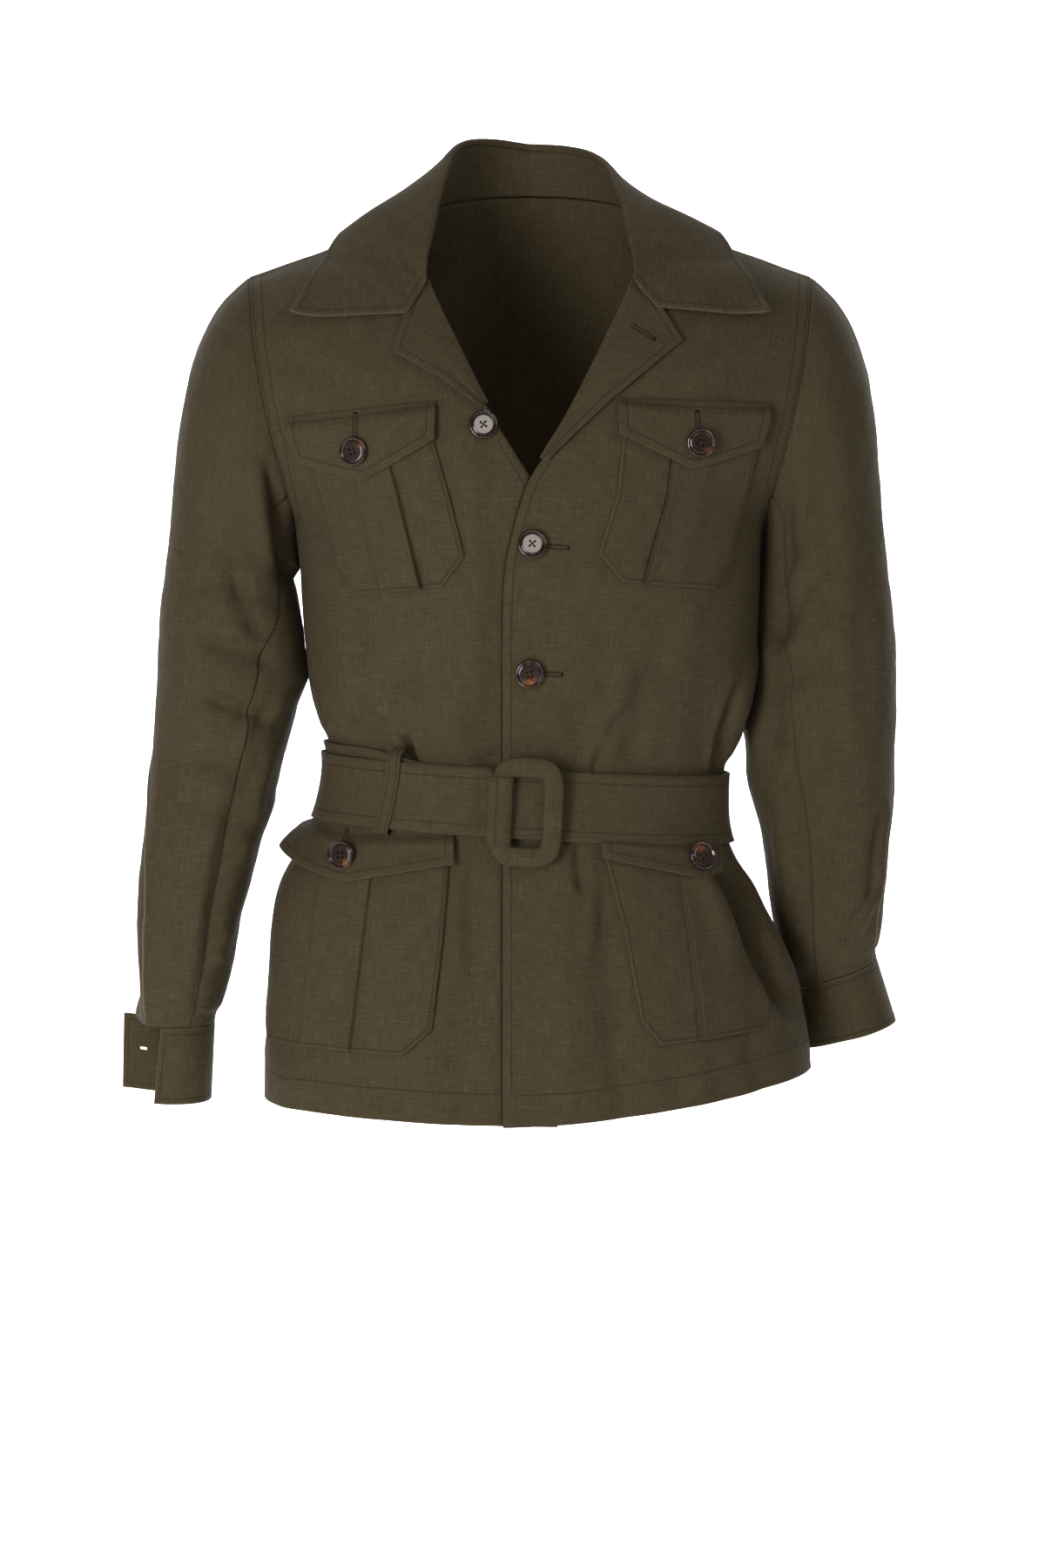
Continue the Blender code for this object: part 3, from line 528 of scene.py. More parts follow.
def linesNear(lines, x, z, side):
    # the side's lines, with how far along and how far beside each the point is
    for line in lines:
        if side and line.x0 * side < 0:
            continue
        runX, runZ = line.x1 - line.x0, line.z1 - line.z0
        fromX, fromZ = x - line.x0, z - line.z0
        length = hypot(runX, runZ)
        yield line, (fromX * runX + fromZ * runZ) / length ** 2, (fromX * runZ - fromZ * runX) / length


def endFade(along, fade):
    overrun = creaseForm["overrun"]
    return ease((along + overrun) / fade) * ease((1 + overrun - along) / fade)


def creaseHeight(creases, x, z, side=None):
    total = 0.0
    base, swing, perMetre, perLine = creaseForm["uneven"]
    for line, along, beside in linesNear(creases, x, z, side):
        across = (beside - line.bow * along * (1 - along) * 4) / line.half
        fade = endFade(along, creaseForm["fade"])
        if fade and abs(across) < creaseForm["reach"]:
            uneven = base + swing * noise.noise((line.x0 * perMetre, line.z0 * perMetre, along * perLine))
            shoulder = creaseForm["shoulder"] * bell(across - creaseForm["shoulderAt"])
            total += line.depth * fade * uneven * (bell(across) - shoulder)
    return total


def foldHeight(folds, x, z, side=None):
    total = 0.0
    for fold, along, beside in linesNear(folds, x, z, side):
        across = beside / fold.half
        if abs(across) < creaseForm["foldReach"]:
            total += fold.depth * endFade(along, creaseForm["foldFade"]) * bell(across)
    return total


def rumple(place, amount):
    # the slight unevenness of washed linen
    return amount * sum(share * noise.noise(place * perMetre) for perMetre, share in creaseForm["rumple"])


# Fronts and back
bodyCut = {"wall": 0.0016, "seam": 0.0004, "lapDrop": 0.0044, "lapEdge": 0.045, "lapFade": 0.020,
           "round": 2.3, "sideDroop": 0.6, "foldFade": 0.2, "underarm": 7, "neckX": 0.080, "neckZ": 0.003,
           "neckShare": 0.080 / 0.220, "rumple": 0.0008, "frontGrid": (104, 230), "backRows": 200,
           "backHalf": (20, 36), "creaseFade": (0.12, 0.06), "rumpleFade": 0.04, "backFade": 0.06,
           "underCover": (0.005, 0.012), "deepFold": -0.02, "axisY": 0.01, "axisRise": 0.12, "nearby": 0.004}
FrontRow = namedtuple("FrontRow", "inX inY inZ outRight outLeft outY zRight zLeft wrap bulge")
frontRows = inMetres(FrontRow, (
    (80, 0, 3, 220, 220, 0, -46.5, -46.5, 0, 0),
    (83.5, -30, -15, 218.5, 218.5, -30, -58, -58, 0, 2),
    (83, -55, -32, 216, 216, -52, -80, -80, 0, 5),
    (79, -72, -55, 212, 212, -64, -110, -110, 0, 8),
    (58, -96, -100, 204.5, 204.5, -70, -150, -150, 0.05, 9),
    (32, -114, -151, 195, 195, -64, -190, -190, 0.3, 6),
    (12, -123, -184, 187, 187, -40, -222, -222, 0.65, 3),
    (-3, -126, -210, 183, 183, 0, -245, -245, 1, 0),
    (-15, -126, -252, 181, 181, 0, -266, -266, 1, 0),
    (-20, -124, -285, 179.5, 180, 0, -295, -295, 1, 0),
    (-21, -117, -335, 176.7, 178.4, 0, -335, -335, 1, 0),
    (-21, -109, -380, 170.5, 173.5, 0, -380, -380, 1, 0),
    (-21, -104, -417, 156.5, 156, 0, -415, -417, 1, 0),
    (-21, -104, -450, 157.5, 152, 0, -446, -452, 1, 0),
    (-21, -108, -485, 168.5, 155, 0, -480, -485, 1, 0),
    (-21, -115, -522, 193.5, 171, 0, -520, -520, 1, 0),
    (-21, -121, -562, 201, 191.5, 0, -558, -556, 1, 0),
    (-21, -126, -610, 203.5, 210, 0, -605, -598, 1, 0),
    (-21, -130, -657, 209.5, 220, 0, -655, -643, 1, 0),
    (-21, -132, -700, 210.5, 222, 0, -692, -669, 1, 0),
), ("wrap",))
BackRow = namedtuple("BackRow", "midY midZ outX outY outZ wrap")
backRows = inMetres(BackRow, (
    (70, 20, 220, 0, -46.5, 0), (86, -13, 218.5, 30, -61, 0), (98, -55, 213, 48, -85, 0),
    (106, -105, 206, 58, -125, 0.05), (108, -155, 199, 57, -165, 0.2), (106, -200, 192, 46, -205, 0.5),
    (102, -232, 186, 24, -232, 0.8), (99, -250, 183, 0, -245, 1),
), ("wrap",))
backDepth = [depth / 1000 for depth in (96, 92, 86, 79, 76, 77, 82, 92, 103, 113, 122, 127)]
frontFolds = inMetres(Fold, (
    (72, -345, 52, -420, 10, 4.5), (160, -350, 150, -420, 12, 4), (-90, -345, -115, -405, 12, -4),
    (-140, -335, -150, -410, 14, 4), (-40, -300, -60, -400, 18, 3), (56, -500, 75, -690, 14, -2.4),
    (150, -510, 185, -600, 16, -7), (20, -520, 30, -690, 20, 4), (-45, -505, -40, -690, 16, -4),
    (-190, -540, -192, -690, 18, 4),
))
backFolds = inMetres(Fold, (
    (-70, -330, -60, -420, 14, 4.5), (65, -330, 55, -420, 14, 4.5), (0, -345, 4, -420, 12, -4),
    (-110, -500, -130, -690, 20, 6), (100, -500, 125, -670, 20, 6), (10, -500, 0, -690, 22, 5),
    (-55, -510, -65, -690, 16, -5), (55, -510, 62, -690, 16, -5),
))
lastRow = len(frontRows) - 1


def section(u, wrap):
    # share of the way across and of the way back, for a body section
    wide = sin(u * pi / 2) ** (2 / bodyCut["round"])
    deep = 1 - max(0.0, cos(u * pi / 2)) ** (2 / bodyCut["round"])
    across = mix(u, wide, wrap)
    return across, mix(across ** 2, deep, wrap)


def rowEnd(row, side):
    return (row.outRight, row.zRight) if side == right else (row.outLeft, row.zLeft)


def frontStations(side, u):
    points = []
    for row in frontRows:
        across, back = section(u, row.wrap)
        outX, outZ = rowEnd(row, side)
        x = mix(row.inX, outX, across)
        y = mix(row.inY, row.outY, back) - row.bulge * sin(pi * u)
        if side == right and row.inX < bodyCut["lapFade"]:
            y += bodyCut["lapDrop"] * ease((bodyCut["lapEdge"] - x) / bodyCut["lapFade"])
        z = mix(row.inZ, outZ, across ** (1 + bodyCut["sideDroop"] * row.wrap))
        points.append(Vector((side * x, y, z)))
    return points


def frontForm(side, u, v):
    return spline(frontStations(side, u), v)


def backStations(u):
    side, u = (left, u) if u >= 0 else (right, -u)
    top = backRows[0]
    x = top.outX * u
    roundNeck = max(0.0, 1 - (x / bodyCut["neckX"]) ** 2) ** 0.5
    slope = max(0.0, (x - bodyCut["neckX"]) / (top.outX - bodyCut["neckX"]))
    z = mix(mix(bodyCut["neckZ"], top.midZ, roundNeck), top.outZ, slope)
    points = [Vector((side * x, top.midY * roundNeck, z))]
    for row in backRows[1:]:
        across, near = section(u, row.wrap)
        y, z = mix(row.midY, row.outY, near), mix(row.midZ, row.outZ, across)
        points.append(Vector((side * row.outX * across, y, z)))
    for row, depth in zip(frontRows[bodyCut["underarm"] + 1:], backDepth):
        across, near = section(u, 1.0)
        outX, outZ = rowEnd(row, side)
        midZ = (row.zRight + row.zLeft) / 2
        points.append(Vector((side * outX * across, mix(depth, 0.0, near), mix(midZ, outZ, across ** 2))))
    return points


def panelColumn(stations, way, toShoulder):
    # a front's way is -1, the back's 1; the panel keeps clear of the seams at the side and the shoulder
    def curve(v):
        point = spline(stations, v * lastRow)
        point.y = way * max(way * point.y, bodyCut["seam"] / 2)
        if toShoulder and v == 0:
            point.y = way * bodyCut["wall"] * 0.5
        return point
    return curve


def backColumn(u):
    u = backStops[round(u * (len(backStops) - 1))]
    return panelColumn(backStations(u), 1, abs(u) > bodyCut["neckShare"])


fronts = {side: Cloth("cloth_front_" + sideName[side], *bodyCut["frontGrid"],
                      lambda u, side=side: panelColumn(frontStations(side, u), -1, True), (0, -1, 0))
          for side in (right, left)}
for side, front in fronts.items():
    front.push(lambda place, u, v, out: foldHeight(frontFolds, place.x, place.z, side)
               * within(u, bodyCut["foldFade"], bodyCut["foldFade"]))
neckSteps, sideSteps = bodyCut["backHalf"]
halfBack = [bodyCut["neckShare"] * i / neckSteps for i in range(neckSteps)]
halfBack += [mix(bodyCut["neckShare"], 1, i / sideSteps) for i in range(sideSteps + 1)]
backStops = [-u for u in reversed(halfBack[1:])] + halfBack
back = Cloth("cloth_back", len(backStops) - 1, bodyCut["backRows"], backColumn, (0, 1, 0))
back.push(lambda place, u, v, out: foldHeight(backFolds, place.x, place.z)
          * ease((1 - abs(u * 2 - 1)) / bodyCut["foldFade"]) if v * lastRow > bodyCut["underarm"] else 0.0)
for panel in (*fronts.values(), back):
    panel.measure()
frontTrees = {side: front.tree() for side, front in fronts.items()}
bodyTree = joinTrees([*fronts.values(), back])
print("fronts and back formed")
# rays to the cloth: where they start, how far one is turned that slips through the side seam, and where the
# cloth is looked for when one misses it
rays = {"from": 0.6, "nudge": 0.006, "front": 0.12, "cloth": 0.1}


def bodyHit(angle, z):
    # outermost body point at this bearing (0 is front, positive to +X)
    for nudge in (0.0, rays["nudge"], -rays["nudge"]):
        out = Vector((sin(angle + nudge), -cos(angle + nudge), 0))
        place, normal, _, _ = bodyTree.ray_cast(out * rays["from"] + up * z, -out)
        if place is not None:
            return place, turnedTo(normal, out)
    return None


def seen(tree, x, z, way, depth):
    # the cloth's face as seen from the front (way -1) or the back, or else the nearest place
    out = Vector((0, way, 0))
    place, normal, _, _ = tree.ray_cast(Vector((x, way * rays["from"], z)), -out)
    if place is None:
        place, normal, _, _ = tree.find_nearest(Vector((x, way * depth, z)))
    return place, turnedTo(normal, out)


def frontHit(side, x, z):
    return seen(frontTrees[side], x, z, -1, rays["front"])


def clearOfBody(point, distance):
    place, normal, _, _ = bodyTree.find_nearest(point)
    outward = Vector((place.x, place.y - bodyCut["axisY"], bodyCut["axisRise"]))
    normal = turnedTo(normal, outward)
    depth = (point - place).dot(normal)
    aside = (point - place - normal * depth).length
    if depth < distance and aside < bodyCut["nearby"]:
        point = point + normal * (distance - depth)
    return point


# Sleeves
sleeveCut = {"wall": 0.0016, "round": 0.88, "capSeam": (0.0004, 0.0008),
             "capWay": (0.70, 0.15, 0.25, 0.68, 0.08), "seam": 0.0004, "around": 0.045, "tuck": 0.0030,
             "sink": 0.0017, "sinkWidth": 0.035, "rumple": 0.0010, "columns": 240,
             "grid": {"upper": (96, 180), "under": (84, 180)}, "endFade": (0.08, 0.04),
             "besideBody": (0.41, 0.04), "ledTo": (0.44, 0.05), "foldsTo": 0.03, "placket": (0.013, 0.009),
             "placketFrom": (0.600, 0.03), "placketAt": radians(222), "lip": 0.0013, "lipWidth": 0.018,
             "lipFrom": (0.5, 0.15), "rimShift": -0.0010, "faceOn": 0.6, "innerShare": 0.7, "rimFrom": 0.5}
# bearings of the two long seams, in ten even steps from the armhole to the cuff
sleeveSeams = {
    right: {"front": (30, 30, 30, 31, 44, 66, 70, 66, 66, 68, 67),
            "back": (290, 285, 278, 262, 236, 206, 176, 154, 142, 146, 150)},
    left: {"front": (30, 30, 30, 31, 40, 55, 66, 73, 75, 71, 62),
           "back": (290, 285, 278, 262, 238, 212, 190, 168, 150, 147, 150)},
}
SleeveRow = namedtuple("SleeveRow", "z tilt midX midY halfX halfY")
sleeveRows = {
    right: inMetres(SleeveRow, (
        (-272, 18, 238.5, 4, 46, 64), (-305, 10, 238.5, 3, 51, 66), (-335, 4, 239, 2, 53.5, 66),
        (-376, 0, 239.5, 0, 55, 64), (-417, 0, 243.7, -2, 53.4, 61), (-450, 0, 251, -4, 49, 58),
        (-483, 0, 258.5, -6, 46, 55), (-520, 0, 264.8, -8, 43.2, 52), (-556, 0, 270.4, -9, 39.7, 49),
        (-590, 0, 272.8, -10, 36.2, 46), (-616, 0, 275.8, -10, 31.5, 43), (-633, 0, 278.8, -8, 27.8, 40),
        (-693, 0, 280.5, -8, 26.5, 39),
    )),
    left: inMetres(SleeveRow, (
        (-272, 18, 232, 4, 47, 64), (-305, 10, 234, 4, 50, 66), (-335, 4, 235.2, 5, 52.2, 66),
        (-376, 0, 234, 8, 55, 64), (-417, 0, 232.5, 12, 56.5, 61), (-450, 0, 233.5, 17, 54.2, 58),
        (-483, 0, 235.2, 23, 50.8, 55), (-520, 0, 237, 30, 47, 52), (-556, 2, 239, 38, 43.2, 50),
        (-582, 8, 242.5, 48, 37, 48), (-600, 12, 246.2, 56, 32.3, 45.5), (-650, 11, 256, 64, 39, 47),
    )),
}
sleeveFolds = inMetres(Fold, (
    (-205, -345, -250, -330, 10, -4.5), (-200, -390, -245, -372, 10, -5),
    (-205, -425, -255, -415, 10, -4.5), (-225, -470, -268, -452, 11, -3.5),
    (195, -320, 240, -300, 10, -4.5), (192, -360, 235, -345, 10, -4.5), (190, -405, 240, -398, 11, -4.5),
    (200, -455, 245, -440, 11, -3.5),
))
# the inner line of each sleeve beside the body: how far down, and x
underarm = {
    right: ((0.245, 0.1838), (0.260, 0.1833), (0.275, 0.1826), (0.283, 0.1876), (0.305, 0.1828),
            (0.321, 0.1797), (0.335, 0.1786), (0.3595, 0.1756), (0.381, 0.1845), (0.406, 0.1915),
            (0.450, 0.2020)),
    left: ((0.245, 0.1838), (0.266, 0.1828), (0.295, 0.1818), (0.335, 0.1802), (0.377, 0.1757),
           (0.398, 0.1690), (0.412, 0.1712), (0.436, 0.1728), (0.470, 0.1790), (0.500, 0.1870)),
}


def armhole(side, angle):
    # round the armhole: 0 underarm, pi/2 front, pi shoulder, 3pi/2 back
    under = bodyCut["underarm"]
    if angle <= pi:
        return frontForm(side, 1.0, under * (1 - angle / pi))
    return spline(backStations(side * 1.0), under * (angle - pi) / pi)


def bearingOut(side, angle):
    return Vector((-side * cos(angle), -sin(angle), 0)).normalized()


def ringPoint(side, row, angle):
    across, deep = squarish(angle, sleeveCut["round"])
    x, y = row.midX - row.halfX * across, row.midY - row.halfY * deep
    return Vector((side * x, y, row.z - row.tilt * cos(angle)))


def sleeveCurve(side, angle):
    angle %= 2 * pi
    rows = sleeveRows[side]
    rings = [ringPoint(side, row, angle) for row in rows]
    start = armhole(side, angle)
    start.x += side * mix(*sleeveCut["capSeam"], max(0.0, cos(angle)))
    across, acrossSwing, deep, fall, fallSwing = sleeveCut["capWay"]
    x, z = across - acrossSwing * cos(angle), -fall - fallSwing * cos(angle)
    outward = Vector((side * x, -deep * sin(angle), z))
    outward.normalize()
    reach = (rings[0] - start).length
    down = (rings[1] - rings[0]).normalized()
    out = bearingOut(side, angle)
    count = len(rows) - 2                      # the last ring is the cuff's lower edge

    def curve(v):
        k = v * 3                              # the first third shapes the cap
        if k < 1:
            return (start * (2 * k ** 3 - 3 * k ** 2 + 1) + outward * reach * (k ** 3 - 2 * k ** 2 + k)
                    + rings[0] * (3 * k ** 2 - 2 * k ** 3) + down * reach * (k ** 3 - k ** 2))
        point = spline(rings, (v - 1 / 3) * 1.5 * count)
        if point.y < rows[0].midY + sleeveCut["foldsTo"]:
            point += out * foldHeight(sleeveFolds, point.x, point.z)
        return point
    return curve


def sleeveColumn(side, angle):
    # the sleeve's inner side is led along its own line beside the body
    curve, inner = sleeveCurve(side, angle), sleeveCurve(side, 0.0)
    near = max(0.0, cos(angle)) ** 3

    def led(v):
        point = curve(v)
        if near > 0:
            line = inner(v)
            share = near * (1 - onset(-line.z, sleeveCut["ledTo"]))
            point.x += side * share * (piecewise(underarm[side], -line.z) - abs(line.x))
        if side == right:                      # the open placket stands out above its cuff
            apart = max(0.0, cos(angle - sleeveCut["placketAt"])) ** 6
            apart *= onset(-point.z, sleeveCut["placketFrom"])
            aside, behind = sleeveCut["placket"]
            point += Vector((side * aside, behind, 0)) * apart
        return point
    return led


def sleeveForm(side):
    # a point at any bearing, between close columns
    count = sleeveCut["columns"]
    columns = [sleeveColumn(side, 2 * pi * k / count) for k in range(count)]

    def point(angle, v):
        at = angle / (2 * pi) * count
        k = floor(at)
        return mix(columns[k % count](v), columns[(k + 1) % count](v), at - k)
    return point


def sleeveSeam(side, name, v):
    stops = sleeveSeams[side][name]
    return radians(spline(stops, v * (len(stops) - 1)))


def sleeveSpan(piece, side, v):
    # the piece's first and last bearing at this depth; the under sleeve runs on below the upper one's edges
    gap = sleeveCut["seam"] / sleeveCut["around"]
    front, behind = sleeveSeam(side, "front", v), sleeveSeam(side, "back", v)
    if piece == "upper":
        return front + gap, behind - gap
    tuck = sleeveCut["tuck"] / sleeveCut["around"] * sleeveFree(v)
    return behind - 2 * pi + gap - tuck, front - gap + tuck


def sleeveFree(v):
    # nothing at the armhole and the cuff
    return within(v, *sleeveCut["endFade"])


def underSeams(side, cloth):
    # distance of the under sleeve from the upper one's edges
    field = []
    for j in range(cloth.rows + 1):
        v = j / cloth.rows
        span = sleeveSpan("under", side, v)
        front, behind = sleeveSeam(side, "front", v), sleeveSeam(side, "back", v) - 2 * pi
        bearings = [mix(*span, i / cloth.columns) for i in range(cloth.columns + 1)]
        field.append([min(front - bearing, bearing - behind) * sleeveCut["around"] for bearing in bearings])
    return field


sleeves = {}
for side in (right, left):
    form = sleeveForm(side)
    for piece, grid in sleeveCut["grid"].items():
        middle = sum(sleeveSpan(piece, side, 0.5)) / 2
        sleeves[piece, side] = Cloth("cloth_sleeve_%s_%s" % (piece, sideName[side]), *grid,
                                     pointwise(lambda u, v: form(mix(*sleeveSpan(piece, side, v), u), v)),
                                     bearingOut(side, middle))
    # the under sleeve gets painted shade along the upper sleeve's edges
    sleeves["under", side].seamRows.append(underSeams(side, sleeves["under", side]))
print("sleeves formed")


# Cuffs
cuffCut = {"wall": 0.0020, "openFrom": (radians(109), radians(121)), "openTo": radians(-105),
           "turn": 0.74, "flap": 0.041, "flapTo": Vector((-0.90, 0.43, 0)), "flapRise": 0.003,
           "slit": (-0.3098, -0.6592), "slitHalf": (0.0028, 0.0012), "closedFrom": radians(-100),
           "closedTo": radians(288), "lap": 0.0028, "lapFrom": (0.80, 0.12), "drop": 0.00104,
           "openGrid": (130, 30), "closedGrid": (150, 26), "flapStep": 0.05}


def cuffBand(side, angle, down, lift):
    top, bottom = sleeveRows[side][-2:]
    point = mix(ringPoint(side, top, angle), ringPoint(side, bottom, angle), down) - up * cuffCut["drop"]
    return point + bearingOut(side, angle) * lift


def openCuff(u, v):
    # from the free front edge round the inside to the back, then on as a free end
    turn, end = cuffCut["turn"], cuffCut["openTo"]
    point = cuffBand(right, mix(mix(*cuffCut["openFrom"], v), end, min(1.0, u / turn)), v, 0.0)
    if u > turn:
        start = (point - cuffBand(right, end + cuffCut["flapStep"], v, 0.0)).normalized()
        far = (u - turn) / (1 - turn)
        point += mix(start, cuffCut["flapTo"], far / 2) * cuffCut["flap"] * far
        point += up * cuffCut["flapRise"] * ease(far)
    return point


def closedCuff(u, v):
    # laps over its own start at the back
    lift = cuffCut["lap"] * onset(u, cuffCut["lapFrom"])
    return cuffBand(left, mix(cuffCut["closedFrom"], cuffCut["closedTo"], u), v, lift)


def cutSlit(cuff):
    # the open cuff's buttonhole goes through the cloth
    (x, z), (halfX, halfZ) = cuffCut["slit"], cuffCut["slitHalf"]
    spots = ((face, face.calc_center_median()) for face in cuff.bm.faces)
    slit = [face for face, spot in spots if abs(spot.x - x) < halfX and abs(spot.z - z) < halfZ]
    bmesh.ops.delete(cuff.bm, geom=slit, context="FACES_KEEP_BOUNDARY")
    cuff.bm.verts.ensure_lookup_table()
    print("slit cut in", len(slit), "faces")


cuffs = {right: Cloth("cloth_cuff_right", *cuffCut["openGrid"], pointwise(openCuff), (1, 0, 0)),
         left: Cloth("cloth_cuff_left", *cuffCut["closedGrid"], pointwise(closedCuff), (1, 0, 0))}
cutSlit(cuffs[right])

# Collar: fold line and outer edge, from the gorge (front) to the centre back
collarCut = {"wall": 0.0024, "standWall": 0.0016, "rise": {right: 0.19, left: 0.0}, "riseFade": 0.05,
             "arch": {right: 0.0117, left: 0.006}, "archFrom": 0.3, "gorgeAt": 0.2, "gorgeTo": 0.16,
             "gorgeDrop": {right: Vector((-0.0069, -0.004, -0.0250)),
                           left: Vector((-0.0041, -0.004, -0.0189))},
             "lay": 0.0026, "overLapel": 0.0034, "overFade": 0.12, "overTo": 0.1, "offFrom": 0.3,
             "standOff": 0.0022, "standFrom": 0.22, "standIn": 0.0030, "standUnder": 0.0034,
             "standEdge": 0.5, "standSeam": 0.0016, "rollShare": 0.10, "rollRadius": 0.0024,
             "rollLeg": 0.005, "legShare": 0.3, "neckMid": 0.02, "frontShare": 0.45, "grid": (300, 46),
             "standGrid": (160, 20), "gorgePower": 0.7, "fallStep": 0.04, "rollFrom": (0.04, 0.2),
             "legFade": 0.2}
CollarStation = namedtuple("CollarStation", "foldX foldY foldZ edgeX edgeY edgeZ")
collarStations = inMetres(CollarStation, (
    (80, -80, -51, 185, -80, -74.5), (81, -64, -26, 166, -45, -44), (78, -40, 3, 147, -5, -11),
    (71, -12, 26, 128, 40, -13), (64, 18, 41, 96, 82, -18), (51, 45, 52, 56, 106, -17),
    (29, 64, 58, 27, 114, -15), (0, 71, 60, 0, 116, -14),
))


def collarLine(share, first, rise):
    points = [Vector(row[first:first + 3]) for row in collarStations]
    point = spline(points, share * (len(points) - 1))
    point.z += rise * point.x * ease(point.z / collarCut["riseFade"])
    return point


def collarSide(u):
    return (right, u * 2) if u < 0.5 else (left, 2 - u * 2)


def inwardOf(point):
    return Vector((-point.x, -point.y - collarCut["neckMid"], 0)).normalized()


def collarFall(u, v):
    side, share = collarSide(u)
    fold = collarLine(share, 0, collarCut["rise"][side])
    edge = collarLine(share, 3, 0.0)
    point = mix(fold, edge, v)
    at = collarCut["gorgeAt"]
    bend = v / at if v < at else ((1 - v) / (1 - at)) ** collarCut["gorgePower"]
    point += collarCut["gorgeDrop"][side] * bend * max(0.0, 1 - share / collarCut["gorgeTo"])
    point.z += collarCut["arch"][side] * sin(pi * v) * ease(share / collarCut["archFrom"])
    point.x *= side
    fade, offFrom = collarCut["overFade"], collarCut["offFrom"]
    over = collarCut["overLapel"] * ease(v / fade) * (1 - ease((share - collarCut["overTo"]) / fade))
    off = collarCut["standOff"] * ease((v - offFrom) / (1 - offFrom))
    return clearOfBody(point, collarCut["lay"] + over + off)


def collarColumn(u):
    # the fall, led over the fold from a short inner leg
    roll, leg = collarCut["rollShare"], collarCut["legShare"]
    top = collarFall(u, 0.0)
    fall = (collarFall(u, collarCut["fallStep"]) - top).normalized()
    inward = inwardOf(top)
    _, share = collarSide(u)
    radius = collarCut["rollRadius"] * onset(share, collarCut["rollFrom"])

    def curve(v):
        if v >= roll:
            return collarFall(u, (v - roll) / (1 - roll))
        k = v / roll
        if k < leg:
            below = collarCut["rollLeg"] * (leg - k) / leg * ease(share / collarCut["legFade"])
            return top + inward * radius * 2 + fall * below
        turn = pi * (1 - (k - leg) / (1 - leg))
        return top + inward * radius * (1 - cos(turn)) - fall * radius * sin(turn)
    return curve


def neckSeam(share):
    # along the front's neck edge, then the back's neckline
    front = collarCut["frontShare"]
    if share < front:
        point = frontForm(left, 0.0, 3 - 3 * share / front)
    else:
        point = backStations(bodyCut["neckShare"] * (1 - (share - front) / (1 - front)))[0]
    return Vector((abs(point.x), point.y, point.z))


def standColumn(u):
    side, share = collarSide(u)
    share = mix(collarCut["standFrom"], 1.0, share)
    fold, seam = collarLine(share, 0, collarCut["rise"][side]), neckSeam(share)
    inward = inwardOf(seam) * collarCut["standIn"]
    top = fold + inward - up * collarCut["standUnder"]
    low = seam + inward * collarCut["standEdge"] + up * collarCut["standSeam"]
    top.x *= side
    low.x *= side
    return lambda v: mix(top, low, v)


collar = Cloth("cloth_collar", *collarCut["grid"], collarColumn, (0, 1, 0.5))
collarStand = Cloth("cloth_collar_stand", *collarCut["standGrid"], standColumn, (0, -1, 0))

# Lapels: outer edge from the notch round the tip to the roll line, in x and z
lapelCut = {"wall": 0.0014, "lift": 0.0021, "leg": 0.004, "bulge": 0.0040, "edgeLift": 0.0040,
            "looseFrom": (0.15, 0.35), "legShare": 0.05, "rollShare": 0.16, "grid": (70, 70),
            "intoAt": 0.05, "normalAt": 0.6, "bulgeTo": 1.1, "bulgeFade": 0.6, "edgeFrom": (0.5, 0.5),
            "edgeHeld": 0.4}
LapelEdge = namedtuple("LapelEdge", "along x z")
lapelEdges = {
    right: (2.94, 4.90, inMetres(LapelEdge, (
        (0, 91.8, -66.5), (0.36, 104.8, -108.2), (0.70, 68, -129), (1, 37.8, -150.5)), ("along",))),
    left: (2.88, 6.15, inMetres(LapelEdge, (
        (0, 92.5, -60.5), (0.24, 116, -99.5), (0.62, 60, -146), (1, 12.5, -190.5)), ("along",))),
}


def lapelSurface(side, u, v):
    fromRow, toRow, stops = lapelEdges[side]
    row = mix(fromRow, toRow, v)
    edge, inner = frontForm(side, 0.0, row), frontForm(side, lapelCut["intoAt"], row)
    into = (inner - edge).normalized()
    beside = mix(edge, inner, lapelCut["normalAt"])
    _, normal = frontHit(side, beside.x, beside.z)
    radius, leg, roll = lapelCut["lift"], lapelCut["legShare"], lapelCut["rollShare"]
    if u < leg:
        return edge - normal * radius + into * lapelCut["leg"] * (1 - u / leg)
    if u < roll:
        turn = mix(-pi / 2, pi / 2, (u - leg) / (roll - leg))
        return edge - into * radius * cos(turn) + normal * radius * sin(turn)
    k = (u - roll) / (1 - roll)
    x = side * piecewise([(stop.along, stop.x) for stop in stops], v)
    z = piecewise([(stop.along, stop.z) for stop in stops], v)
    place, out = frontHit(side, mix(edge.x, x, k), mix(edge.z, z, k))
    loose = onset(v, lapelCut["looseFrom"])
    rise = lapelCut["bulge"] * sin(pi * min(1.0, k * lapelCut["bulgeTo"])) * loose
    rise *= 1 - lapelCut["bulgeFade"] * v
    rise += lapelCut["edgeLift"] * onset(k, lapelCut["edgeFrom"]) * mix(lapelCut["edgeHeld"], 1, loose)
    return place + out * (radius + rise)


lapels = {side: Cloth("cloth_lapel_" + sideName[side], *lapelCut["grid"],
                      pointwise(lambda u, v, side=side: lapelSurface(side, u, v)), (0, -1, 0))
          for side in (right, left)}
print("cuffs, collar and lapels formed")

